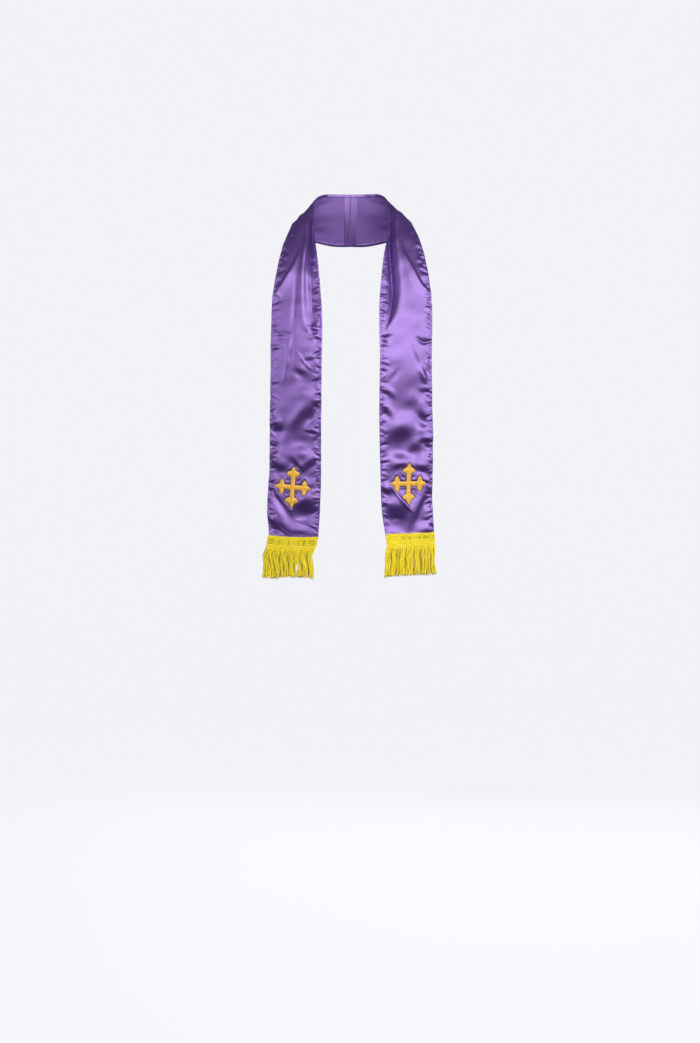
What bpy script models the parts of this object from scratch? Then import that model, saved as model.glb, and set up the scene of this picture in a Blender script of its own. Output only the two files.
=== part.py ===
"""Clerical stole, worn open round the neck.

One straight strip of satin passes behind the neck and hangs down in front on both sides. Each
front carries an embroidered budded cross and ends in a fringe sewn on by its heading.

The wearer faces -Y, their left is +X and up is +Z. The origin is where the nape carries the
strip. Tables and sizes are in millimetres. On the strip, "along" is the distance from the
centre-back seam and "across" is the distance from the edge that lies against the neck.
"""

from collections import namedtuple
import math

import bmesh
import bpy
import numpy as np

MM = 0.001

BAND_WIDTH = 106.0
HALF_LENGTH = 803.0
WALL = 1.2
HEM_WIDTH = 5.0
HEM_WALL = 1.7
SEAM_GAP = 0.3
BAND_ROWS = 61
BAND_COLUMNS = 16

CROSS_WALL = 1.2
CROSS_LIFT = 0.85
CROSS_ARM = 8.4
CROSS_COLUMNS = 4
ARM_INNER_ROWS = 3

HEADING_HEIGHT = 20.0
HEADING_LAP = 8.0
HEADING_LIFT = 0.35
CORD_PAIRS = 22
CORD_DEPTH = 2.3
CORD_LAYER = 1.4
LAYER_SPACE = 0.8
CORD_FILL = 0.74
CORD_ROOT = 0.10

Section = namedtuple("Section", "along in_x in_y in_z out_x out_y out_z bow")
Fold = namedtuple("Fold", "along_a across_a along_b across_b reach rise")
Cross = namedtuple("Cross", "along across turn tall wide")
Profile = namedtuple("Profile", "from_tip half")
Sway = namedtuple("Sway", "down inner outer")
Slit = namedtuple("Slit", "share width start end")
Finish = namedtuple("Finish", "colour roughness sheen")

# The strip's two edges from the nape to the hem, and how far its middle stands out from them.
SECTIONS = {
    "left": (
        Section(0, 0.0, -5, 50, 0.0, 16, -51, -5),
        Section(30, 30.0, -8, 50, 32.0, 15, -51, -4),
        Section(60, 53.0, -24, 48, 64.0, 8, -46, 0),
        Section(92, 68.5, -51, 38, 95.0, -2, -36, 6),
        Section(126, 74.5, -80, 19, 113.0, -20, -20, 9),
        Section(158, 76.7, -101, -7, 120.0, -44, -11, 8),
        Section(192, 74.0, -117, -38, 125.5, -73, -25, 7),
        Section(234, 66.4, -136, -77, 138.0, -101, -61, 6),
        Section(284, 60.5, -154, -124, 148.5, -124, -108, 5),
        Section(336, 56.3, -170, -173, 155.5, -143, -163, 4),
        Section(388, 55.3, -182, -223, 157.5, -154, -214, 4),
        Section(445, 56.5, -188, -280, 156.5, -160, -271, 4),
        Section(505, 55.8, -190, -340, 156.5, -161, -332, 4),
        Section(565, 55.5, -189, -400, 157.8, -160, -392, 4),
        Section(625, 56.2, -187, -460, 158.8, -158, -453, 4),
        Section(685, 57.8, -185, -519, 158.0, -156, -513, 4),
        Section(742, 60.0, -183, -576, 158.2, -154, -571, 3),
        Section(803, 69.0, -182, -637, 161.5, -151, -633, 2),
    ),
    "right": (
        Section(0, 0.0, -5, 50, 0.0, 16, -51, -5),
        Section(30, 30.0, -8, 50, 32.0, 15, -51, -4),
        Section(60, 53.0, -24, 47, 63.0, 8, -46, 0),
        Section(92, 68.0, -51, 36, 92.0, -2, -37, 6),
        Section(126, 74.5, -80, 16, 107.0, -20, -21, 8),
        Section(158, 75.6, -101, -10, 113.0, -44, -13, 8),
        Section(192, 71.5, -117, -41, 119.0, -73, -26, 7),
        Section(234, 65.7, -136, -79, 131.0, -101, -62, 6),
        Section(284, 60.9, -154, -126, 142.0, -124, -109, 5),
        Section(336, 56.6, -170, -175, 150.0, -138, -164, 4),
        Section(388, 54.3, -182, -225, 152.8, -148, -215, 4),
        Section(445, 55.0, -188, -282, 153.8, -153, -272, 4),
        Section(505, 55.8, -190, -342, 154.3, -155, -333, 4),
        Section(565, 56.3, -189, -402, 155.3, -154, -393, 4),
        Section(625, 56.5, -187, -462, 155.8, -152, -454, 4),
        Section(685, 56.6, -185, -521, 157.0, -151, -514, 4),
        Section(742, 58.6, -183, -578, 160.5, -150, -573, 3),
        Section(803, 62.5, -182, -638, 156.5, -150, -635, 2),
    ),
}

# The largest folds of each half, each a straight run on the cloth. A negative rise is a trough.
FOLDS = {
    "left": (
        Fold(120, 8, 236, 22, 9, -9),
        Fold(236, 22, 345, 29, 9, -9),
        Fold(345, 29, 391, 14, 9, -6),
        Fold(120, 28, 330, 48, 10, 5),
        Fold(236, 66, 313, 98, 10, 3),
        Fold(433, 74, 489, 93, 9, 3),
        Fold(572, 53, 622, 24, 12, -5),
        Fold(642, 28, 636, 56, 10, 4),
        Fold(706, 20, 750, 58, 8, 4),
        Fold(757, 20, 772, 48, 11, -4),
        Fold(706, 92, 766, 68, 9, -4),
        Fold(10, 38, 96, 52, 12, -3),
        Fold(40, 84, 120, 70, 12, 3),
    ),
    "right": (
        Fold(110, 26, 218, 34, 10, 5),
        Fold(218, 34, 350, 46, 10, 5),
        Fold(120, 8, 290, 20, 9, -7),
        Fold(318, 28, 366, 32, 9, -4),
        Fold(236, 55, 320, 98, 10, 3),
        Fold(329, 56, 386, 66, 7, -3),
        Fold(400, 61, 500, 82, 9, 3),
        Fold(542, 10, 590, 46, 11, -5),
        Fold(642, 18, 620, 60, 12, 4),
        Fold(654, 58, 672, 38, 7, -4),
        Fold(672, 38, 652, 8, 7, -4),
        Fold(724, 98, 766, 62, 9, 4),
        Fold(752, 28, 768, 36, 10, -4),
        Fold(10, 38, 96, 52, 12, -3),
        Fold(40, 84, 120, 70, 12, 3),
    ),
}

CROSSES = {
    "left": Cross(698.5, 55.6, 2.0, 39.2, 36.4),
    "right": Cross(703.8, 55.4, -1.3, 38.6, 36.2),
}

# Half the width of an arm against the distance from its tip, with the side buds at 12 mm.
ARM_PROFILE = (
    Profile(0.0, 1.0),
    Profile(2.0, 3.0),
    Profile(5.5, 4.4),
    Profile(8.4, 3.6),
    Profile(9.8, 8.0),
    Profile(12.0, 12.4),
    Profile(14.6, 12.0),
    Profile(17.0, 7.5),
    Profile(19.0, 4.2),
)

# Sideways drift of the fringe from its heading to the cut ends, at its inner and outer side.
SWAYS = {
    "left": (
        Sway(0.0, 1.0, 3.0),
        Sway(0.15, -2.0, 3.0),
        Sway(0.35, -4.5, 2.0),
        Sway(0.6, -3.5, 1.5),
        Sway(0.8, -5.0, 3.0),
        Sway(1.0, -6.5, 5.0),
    ),
    "right": (
        Sway(0.0, 2.5, 6.0),
        Sway(0.15, 7.0, 8.5),
        Sway(0.35, 9.5, 12.0),
        Sway(0.55, 7.0, 11.0),
        Sway(1.0, 6.0, 12.0),
    ),
}

# Gaps between cords, as a share of the width from the inner side, over a share of their drop.
SLITS = {
    "left": (
        Slit(0.364, 2.0, 0.35, 0.85),
        Slit(0.455, 1.8, 0.60, 1.00),
        Slit(0.591, 2.2, 0.30, 0.95),
        Slit(0.682, 3.2, 0.02, 0.90),
        Slit(0.864, 2.4, 0.30, 0.85),
    ),
    "right": (
        Slit(0.182, 2.2, 0.20, 0.80),
        Slit(0.364, 6.0, 0.40, 0.95),
        Slit(0.545, 2.0, 0.25, 0.80),
        Slit(0.727, 1.8, 0.40, 1.00),
    ),
}

# Mean length of the cords below the heading, and how much lower the outer side ends.
CORD_LENGTH = {"left": (59.5, -2.0), "right": (60.0, 4.0)}
CORD_UNEVEN = 2.2
FRINGE_FROM = {"left": 0.5, "right": 0.0}
FRINGE_WIDTH = {"left": 105.5, "right": 106.0}

FINISHES = {
    "stole": Finish((0.220, 0.105, 0.460, 1.0), 0.32, 0.3),
    "cross": Finish((0.760, 0.420, 0.050, 1.0), 0.45, 0.2),
    "fringe": Finish((0.850, 0.680, 0.030, 1.0), 0.60, 0.3),
}


def spline(knots, values, at):
    """Natural cubic spline through the rows of values, read at the places given."""
    knots = np.asarray(knots, dtype=float)
    values = np.asarray(values, dtype=float)
    at = np.clip(np.asarray(at, dtype=float), knots[0], knots[-1])
    count = len(knots)
    step = np.diff(knots)
    slope = np.diff(values, axis=0) / step[:, None]
    system = np.eye(count)
    target = np.zeros_like(values)
    for row in range(1, count - 1):
        system[row, row - 1] = step[row - 1]
        system[row, row] = 2.0 * (step[row - 1] + step[row])
        system[row, row + 1] = step[row]
        target[row] = 6.0 * (slope[row] - slope[row - 1])
    bend = np.linalg.solve(system, target)
    place = np.clip(np.searchsorted(knots, at) - 1, 0, count - 2)
    width = step[place][:, None]
    right = (at - knots[place])[:, None]
    left = width - right
    curve = (bend[place] * left**3 + bend[place + 1] * right**3) / (6.0 * width)
    line_a = (values[place] / width - bend[place] * width / 6.0) * left
    line_b = (values[place + 1] / width - bend[place + 1] * width / 6.0) * right
    return curve + line_a + line_b


def unit(vectors):
    """The same directions, each of length one."""
    return vectors / np.linalg.norm(vectors, axis=-1, keepdims=True)


def smooth(value, low, high):
    """0 below low, 1 above high and an even curve between them."""
    share = np.clip((value - low) / (high - low), 0.0, 1.0)
    return share * share * (3.0 - 2.0 * share)


def plain_surface(side, along, across):
    """Points of the strip's middle layer before its folds, as if worn on the wearer's left."""
    table = SECTIONS[side]
    knots = [row.along for row in table]
    values = [row[1:] for row in table]
    here = spline(knots, values, along)
    ahead = spline(knots, values, np.minimum(along + 1.0, HALF_LENGTH))
    behind = spline(knots, values, np.maximum(along - 1.0, 0.0))
    share = (across / BAND_WIDTH)[:, None]
    chord = here[:, 3:6] - here[:, 0:3]
    onward = (ahead - behind)[:, 0:3] + (ahead - behind)[:, 3:6]
    outward = unit(np.cross(onward, chord))
    stand = 4.0 * share * (1.0 - share) * here[:, 6:7]
    return here[:, 0:3] + chord * share + outward * stand


def fold_rise(side, along, across):
    """How far the folds lift the cloth. They die out at the fringe and under the embroidery."""
    rise = np.zeros_like(along)
    for fold in FOLDS[side]:
        run = np.array([fold.along_b - fold.along_a, fold.across_b - fold.across_a], dtype=float)
        to_a = along - fold.along_a
        to_c = across - fold.across_a
        share = np.clip((to_a * run[0] + to_c * run[1]) / run.dot(run), 0.0, 1.0)
        off = np.hypot(to_a - share * run[0], to_c - share * run[1])
        rise += fold.rise * np.exp(-((off / fold.reach) ** 2))
    cross = CROSSES[side]
    from_cross = np.hypot(along - cross.along, across - cross.across)
    stiff = 0.25 + 0.75 * smooth(from_cross, 0.5 * cross.tall, 1.2 * cross.tall)
    hem = 1.0 - smooth(along, HALF_LENGTH - 40.0, HALF_LENGTH - 10.0)
    seam = smooth(along, 0.0, 25.0)
    return rise * stiff * hem * seam


def normals_of(shape, along, across, reach=1.0):
    """Directions that face away from the body, from a surface's own slopes."""
    ahead = shape(np.minimum(along + reach, HALF_LENGTH), across)
    behind = shape(np.maximum(along - reach, 0.0), across)
    outer = shape(along, np.minimum(across + reach, BAND_WIDTH))
    inner = shape(along, np.maximum(across - reach, 0.0))
    return unit(np.cross(ahead - behind, outer - inner))


def folded_surface(side, along, across):
    """Points of the strip's middle layer with its folds."""

    def plain(place_along, place_across):
        return plain_surface(side, place_along, place_across)

    rise = fold_rise(side, along, across)[:, None]
    return plain(along, across) + normals_of(plain, along, across) * rise


def band_grid(side):
    """The places of the strip's rows and columns, its outer and inner points, and its normals."""
    rows = np.linspace(0.5 * SEAM_GAP, HALF_LENGTH, BAND_ROWS + 1)
    inside = np.linspace(HEM_WIDTH, BAND_WIDTH - HEM_WIDTH, BAND_COLUMNS - 1)
    columns = np.concatenate([[0.0], inside, [BAND_WIDTH]])
    along, across = [part.ravel() for part in np.meshgrid(rows, columns, indexing="ij")]

    def folded(place_along, place_across):
        return folded_surface(side, place_along, place_across)

    middle = folded(along, across)
    out = normals_of(folded, along, across, 3.0)
    out[: len(columns), 0] = 0.0
    out = unit(out)
    at_edge = (across < HEM_WIDTH) | (across > BAND_WIDTH - HEM_WIDTH)
    half = 0.5 * np.where(at_edge, HEM_WALL, WALL)[:, None]
    shape = (len(rows), len(columns), 3)
    outer = (middle + out * half).reshape(shape)
    inner = (middle - out * half).reshape(shape)
    return rows, columns, outer, inner, out.reshape(shape)


def on_band(grid, along, across):
    """The outer face's points and normals at places on the strip, read from its own facets."""
    rows, columns, outer, _, out = grid
    row = np.clip(np.searchsorted(rows, along) - 1, 0, len(rows) - 2)
    column = np.clip(np.searchsorted(columns, across) - 1, 0, len(columns) - 2)
    down = ((along - rows[row]) / (rows[row + 1] - rows[row]))[:, None]
    over = ((across - columns[column]) / (columns[column + 1] - columns[column]))[:, None]

    def read(field):
        near = field[row, column]
        below = field[row + 1, column]
        beside = field[row, column + 1]
        far = field[row + 1, column + 1]
        low = near + (below - near) * down + (far - below) * over
        high = near + (beside - near) * over + (far - beside) * down
        return np.where(down > over, low, high)

    return read(outer), unit(read(out))


def add_object(name, kind, side, points, faces):
    """One closed body from points in millimetres, mirrored for the wearer's right."""
    sign = 1.0 if side == "left" else -1.0
    placed = np.asarray(points, dtype=float) * (sign * MM, MM, MM)
    mesh = bpy.data.meshes.new(name)
    mesh.from_pydata(placed.tolist(), [], [tuple(face) for face in faces])
    body = bmesh.new()
    body.from_mesh(mesh)
    bmesh.ops.triangulate(body, faces=[face for face in body.faces if len(face.verts) > 3])
    bmesh.ops.recalc_face_normals(body, faces=body.faces[:])
    body.to_mesh(mesh)
    body.free()
    mesh.shade_smooth()
    mesh.set_sharp_from_angle(angle=math.radians(50))
    mesh.materials.append(add_material(name, FINISHES[kind]))
    item = bpy.data.objects.new(name, mesh)
    bpy.context.scene.collection.objects.link(item)
    return item


def add_material(name, finish):
    material = bpy.data.materials.new(name + "_finish")
    material.use_nodes = True
    shader = material.node_tree.nodes["Principled BSDF"]
    shader.inputs["Base Color"].default_value = finish.colour
    shader.inputs["Roughness"].default_value = finish.roughness
    shader.inputs["Metallic"].default_value = 0.0
    shader.inputs["Sheen Weight"].default_value = finish.sheen
    return material


def box_faces(count_i, count_j, number):
    """Quads over both sides of a sheet of cells, and round its rim, from a numbering rule."""
    faces = []
    for i in range(count_i - 1):
        for j in range(count_j - 1):
            front = [number(i, j, 0), number(i + 1, j, 0), number(i + 1, j + 1, 0)]
            faces += [front, [number(i, j, 0), number(i + 1, j + 1, 0), number(i, j + 1, 0)]]
            back = [number(i, j, 1), number(i + 1, j + 1, 1), number(i + 1, j, 1)]
            faces += [back, [number(i, j, 1), number(i, j + 1, 1), number(i + 1, j + 1, 1)]]
    for i in range(count_i - 1):
        for j in (0, count_j - 1):
            faces.append([number(i, j, 0), number(i + 1, j, 0), number(i + 1, j, 1), number(i, j, 1)])
    for j in range(count_j - 1):
        for i in (0, count_i - 1):
            faces.append([number(i, j, 0), number(i, j + 1, 0), number(i, j + 1, 1), number(i, j, 1)])
    return faces


def build_band(side, grid):
    """One half of the strip, from the centre-back seam to the hem."""
    rows, columns, outer, inner, _ = grid
    points = np.concatenate([outer.reshape(-1, 3), inner.reshape(-1, 3)])
    layer = len(rows) * len(columns)

    def number(i, j, face):
        return face * layer + i * len(columns) + j

    return add_object(
        "stole_" + side, "stole", side, points, box_faces(len(rows), len(columns), number)
    )


def arm_half(from_tip):
    """Half the width of a cross's arm at a distance from its tip."""
    places = [row.from_tip for row in ARM_PROFILE]
    halves = [row.half for row in ARM_PROFILE]
    return float(np.interp(from_tip, places, halves))


def cross_plan(cross):
    """Flat points (across, along) and quads of a budded cross: four arms round a square."""
    half = 0.5 * CROSS_ARM
    points = []
    numbers = {}
    faces = []

    def number(x, y):
        key = (round(x, 4), round(y, 4))
        if key not in numbers:
            numbers[key] = len(points)
            points.append((x, y))
        return numbers[key]

    step = CROSS_ARM / CROSS_COLUMNS
    for column in range(CROSS_COLUMNS):
        for row in range(CROSS_COLUMNS):
            x = column * step - half
            y = row * step - half
            corners = ((x, y), (x + step, y), (x + step, y + step), (x, y + step))
            faces.append([number(*corner) for corner in corners])
    for turn, length in enumerate((cross.wide, cross.tall, cross.wide, cross.tall)):
        cos, sin = ((1, 0), (0, 1), (-1, 0), (0, -1))[turn]
        places = [length - row.from_tip for row in ARM_PROFILE][::-1]
        inner = np.linspace(half, places[0], ARM_INNER_ROWS)[:-1]
        stations = [(half, half)] + [(place, arm_half(length - place)) for place in inner[1:]]
        stations += [(place, arm_half(length - place)) for place in places]
        for (near, near_half), (far, far_half) in zip(stations, stations[1:]):
            for column in range(CROSS_COLUMNS):
                low = 2.0 * column / CROSS_COLUMNS - 1.0
                high = low + 2.0 / CROSS_COLUMNS
                corners = (
                    (near, low * near_half),
                    (far, low * far_half),
                    (far, high * far_half),
                    (near, high * near_half),
                )
                faces.append([number(x * cos - y * sin, x * sin + y * cos) for x, y in corners])
    return points, faces


def build_cross(side, grid):
    """A raised embroidered cross, made from the strip's own points moved out."""
    cross = CROSSES[side]
    plan, quads = cross_plan(cross)
    flat = np.array(plan)
    angle = math.radians(cross.turn)
    across = cross.across + flat[:, 0] * math.cos(angle) - flat[:, 1] * math.sin(angle)
    along = cross.along + flat[:, 0] * math.sin(angle) + flat[:, 1] * math.cos(angle)
    surface, out = on_band(grid, along, across)
    back = surface + out * CROSS_LIFT
    front = surface + out * (CROSS_LIFT + CROSS_WALL)
    count = len(plan)
    faces = [list(quad) for quad in quads]
    faces += [[corner + count for corner in reversed(quad)] for quad in quads]
    used = {}
    for quad in quads:
        for first, second in zip(quad, quad[1:] + quad[:1]):
            used[(first, second)] = used.get((first, second), 0) + 1
    for first, second in used:
        if (second, first) not in used:
            faces.append([second, first, first + count, second + count])
    points = np.concatenate([front, back])
    return add_object("cross_" + side, "cross", side, points, faces)


def fringe_shift(side, share, down):
    """Sideways move of a place on the fringe: its sway and the slits between its cords."""
    rows = SWAYS[side]
    knots = [row.down for row in rows]
    inner, outer = spline(knots, [row[1:] for row in rows], np.array([down]))[0]
    shift = inner + (outer - inner) * share
    for slit in SLITS[side]:
        middle = 0.5 * (slit.start + slit.end)
        opening = smooth(down, slit.start, middle) * (1.0 - smooth(down, middle, slit.end + 0.15))
        off = share - slit.share
        push = 0.5 * slit.width * math.exp(-abs(off) / 0.12)
        shift += math.copysign(push, off) * opening
    return shift


def cord_place(side, share, down):
    """Distance across the strip of a cord, for its share of the width and of the drop."""
    return FRINGE_FROM[side] + share * FRINGE_WIDTH[side] + fringe_shift(side, share, down)


def cord_drop(side, index, share):
    """Length of one cord below the heading. Neighbours end unevenly."""
    length, lower = CORD_LENGTH[side]
    uneven = math.sin(index * 2.4 + 0.7) + 0.6 * math.sin(index * 5.3 + 2.0)
    return length + lower * (share - 0.5) + 0.5 * CORD_UNEVEN * uneven


def build_fringe(side, grid):
    """The heading, with two layers of cords drawn down from its lower edge as one body."""
    columns = 2 * CORD_PAIRS
    shares = np.arange(columns + 1) / columns
    across = FRINGE_FROM[side] + shares * FRINGE_WIDTH[side]
    top = np.full(columns + 1, HALF_LENGTH - HEADING_LAP)
    inside = np.clip(across, 0.0, BAND_WIDTH)
    start, out = on_band(grid, top, inside)
    hem, _ = on_band(grid, np.full(columns + 1, HALF_LENGTH - 0.01), inside)
    over = unit(hem[-1] - hem[0])
    start = start + over * (across - inside)[:, None]
    down = unit(hem - (start - over * (across - inside)[:, None]))
    thick = (0.0, CORD_LAYER, CORD_LAYER + LAYER_SPACE, 2.0 * CORD_LAYER + LAYER_SPACE)
    points = []
    faces = []

    def lattice(i, j, level):
        return (i * 4 + j) * 2 + level

    for i in range(columns + 1):
        root_shift = over * fringe_shift(side, shares[i], 0.0)
        for depth in thick:
            top_point = start[i] + out[i] * (HEADING_LIFT + depth)
            points += [top_point, top_point + down[i] * HEADING_HEIGHT + root_shift]
    for i in range(columns):
        for j in (0, 3):
            faces.append([lattice(i, j, 0), lattice(i + 1, j, 0), lattice(i + 1, j, 1), lattice(i, j, 1)])
        for j in range(3):
            for level in (0, 1):
                rooted = level == 1 and j == (2 if i % 2 == 0 else 0)
                if not rooted:
                    faces.append(
                        [lattice(i, j, level), lattice(i + 1, j, level)]
                        + [lattice(i + 1, j + 1, level), lattice(i, j + 1, level)]
                    )
    for j in range(3):
        for i in (0, columns):
            faces.append([lattice(i, j, 0), lattice(i, j + 1, 0), lattice(i, j + 1, 1), lattice(i, j, 1)])

    middle_depth = HEADING_LIFT + CORD_LAYER + 0.5 * LAYER_SPACE
    layer_depth = 0.5 * (CORD_DEPTH + LAYER_SPACE)
    drops = (CORD_ROOT, 0.32, 0.55, 0.78, 1.0)
    for i in range(columns):
        front = i % 2 == 0
        j = 2 if front else 0
        share = (i + 0.5) / columns
        length = cord_drop(side, i, share)
        base = 0.5 * (start[i] + start[i + 1]) + 0.5 * (down[i] + down[i + 1]) * HEADING_HEIGHT
        base_across = FRINGE_FROM[side] + share * FRINGE_WIDTH[side]
        facing = unit(out[i] + out[i + 1])
        ring = [lattice(i, j, 1), lattice(i + 1, j, 1), lattice(i + 1, j + 1, 1), lattice(i, j + 1, 1)]
        for drop in drops:
            here = cord_place(side, share, drop)
            before = cord_place(side, share - 2.0 / columns, drop)
            after = cord_place(side, share + 2.0 / columns, drop)
            half_width = 0.5 * CORD_FILL * min(after - here, here - before, 4.6)
            half_depth = 0.5 * CORD_DEPTH * (0.8 if drop == 1.0 else 1.0)
            depth = middle_depth + (layer_depth if front else -layer_depth)
            centre = base + over * (here - base_across) + facing * depth
            centre = centre + np.array([0.0, 0.0, -length * drop])
            first = len(points)
            for wide, deep in ((-1, -1), (1, -1), (1, 1), (-1, 1)):
                points.append(centre + over * (wide * half_width) + facing * (deep * half_depth))
            new_ring = [first, first + 1, first + 2, first + 3]
            for corner in range(4):
                beside = (corner + 1) % 4
                faces.append([ring[corner], ring[beside], new_ring[beside], new_ring[corner]])
            ring = new_ring
        faces.append(ring)
    return add_object("fringe_" + side, "fringe", side, points, faces)


def main():
    for item in list(bpy.data.objects):
        bpy.data.objects.remove(item, do_unlink=True)
    for side in ("left", "right"):
        grid = band_grid(side)
        build_band(side, grid)
        build_cross(side, grid)
        build_fringe(side, grid)


main()
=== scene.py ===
"""Clerical stole in purple satin, with gold embroidered crosses and yellow fringed ends.

The satin, its sewing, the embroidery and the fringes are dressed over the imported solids.
Tables are in millimetres on the flat cut of one half: "along" is the distance from the
centre-back seam and "across" is the distance from the edge that lies against the neck.
The wearer faces -Y and their left is +X.
"""

import math
from collections import namedtuple

import bpy
import numpy as np
from bpy.props import FloatProperty, FloatVectorProperty, IntProperty, PointerProperty
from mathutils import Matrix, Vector


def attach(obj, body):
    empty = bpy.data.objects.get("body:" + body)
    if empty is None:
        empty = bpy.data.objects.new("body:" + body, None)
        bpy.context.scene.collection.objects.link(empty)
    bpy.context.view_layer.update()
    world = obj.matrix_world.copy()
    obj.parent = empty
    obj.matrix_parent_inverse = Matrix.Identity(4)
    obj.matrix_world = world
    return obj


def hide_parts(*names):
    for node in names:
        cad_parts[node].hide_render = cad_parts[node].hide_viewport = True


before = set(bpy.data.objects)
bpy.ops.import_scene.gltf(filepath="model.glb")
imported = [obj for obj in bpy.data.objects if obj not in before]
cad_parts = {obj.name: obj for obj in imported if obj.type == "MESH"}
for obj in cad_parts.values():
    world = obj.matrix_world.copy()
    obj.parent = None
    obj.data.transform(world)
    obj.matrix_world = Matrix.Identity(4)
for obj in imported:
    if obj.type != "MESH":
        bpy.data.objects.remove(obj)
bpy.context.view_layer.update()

bl_info = {
    "name": "Clerical stole",
    "version": (1, 0, 0),
    "blender": (4, 5, 0),
    "location": "3D View > Sidebar > Stole",
    "description": "Makes a satin stole with its hems, embroidered crosses and fringes",
    "category": "Object",
}

MM = 0.001
SIDES = ("left", "right")

BAND_WIDTH = 106.0
HALF_LENGTH = 803.0
SEAM_GAP = 0.03

Section = namedtuple("Section", "along in_x in_y in_z out_x out_y out_z bow")
Knot = namedtuple("Knot", "along across reach rise")
Crease = namedtuple("Crease", "name lean knots sharp", defaults=(2.0,))
Buckle = namedtuple("Buckle", "along across down over turn tilt")
Cross = namedtuple("Cross", "along across turn tall wide")
Sway = namedtuple("Sway", "down inner outer")
Slit = namedtuple("Slit", "share width start end")
Light = namedtuple("Light", "name place aim wide high watts colour")

# The strip's two edges from the nape to the hem, and how far its middle stands out from them.
SECTIONS = {
    "left": (
        Section(0, 0.0, -5, 50, 0.0, 16, -51, -5),
        Section(30, 30.0, -8, 50, 32.0, 15, -51, -4),
        Section(60, 53.0, -24, 48, 64.0, 8, -46, 0),
        Section(92, 68.5, -51, 38, 95.0, -2, -36, 6),
        Section(126, 74.5, -80, 19, 113.0, -20, -20, 9),
        Section(158, 76.7, -101, -7, 120.0, -44, -11, 8),
        Section(192, 74.0, -117, -38, 125.5, -73, -25, 7),
        Section(234, 66.4, -136, -77, 138.0, -101, -61, 6),
        Section(284, 60.5, -154, -124, 148.5, -124, -108, 5),
        Section(336, 56.3, -170, -173, 155.5, -143, -163, 4),
        Section(388, 55.3, -182, -223, 157.5, -154, -214, 4),
        Section(445, 56.5, -188, -280, 156.5, -160, -271, 4),
        Section(505, 55.8, -190, -340, 156.5, -161, -332, 4),
        Section(565, 55.5, -189, -400, 157.8, -160, -392, 4),
        Section(625, 56.2, -187, -460, 158.8, -158, -453, 4),
        Section(685, 57.8, -185, -519, 158.0, -156, -513, 4),
        Section(742, 60.0, -183, -576, 158.2, -154, -571, 3),
        Section(803, 69.0, -182, -637, 161.5, -151, -633, 2),
    ),
    "right": (
        Section(0, 0.0, -5, 50, 0.0, 16, -51, -5),
        Section(30, 30.0, -8, 50, 32.0, 15, -51, -4),
        Section(60, 53.0, -24, 47, 63.0, 8, -46, 0),
        Section(92, 68.0, -51, 36, 92.0, -2, -37, 6),
        Section(126, 74.5, -80, 16, 107.0, -20, -21, 8),
        Section(158, 75.6, -101, -10, 113.0, -44, -13, 8),
        Section(192, 71.5, -117, -41, 119.0, -73, -26, 7),
        Section(234, 65.7, -136, -79, 131.0, -101, -62, 6),
        Section(284, 60.9, -154, -126, 142.0, -124, -109, 5),
        Section(336, 56.6, -170, -175, 150.0, -138, -164, 4),
        Section(388, 54.3, -182, -225, 152.8, -148, -215, 4),
        Section(445, 55.0, -188, -282, 153.8, -153, -272, 4),
        Section(505, 55.8, -190, -342, 154.3, -155, -333, 4),
        Section(565, 56.3, -189, -402, 155.3, -154, -393, 4),
        Section(625, 56.5, -187, -462, 155.8, -152, -454, 4),
        Section(685, 56.6, -185, -521, 157.0, -151, -514, 4),
        Section(742, 58.6, -183, -578, 160.5, -150, -573, 3),
        Section(803, 62.5, -182, -638, 156.5, -150, -635, 2),
    ),
}

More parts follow.
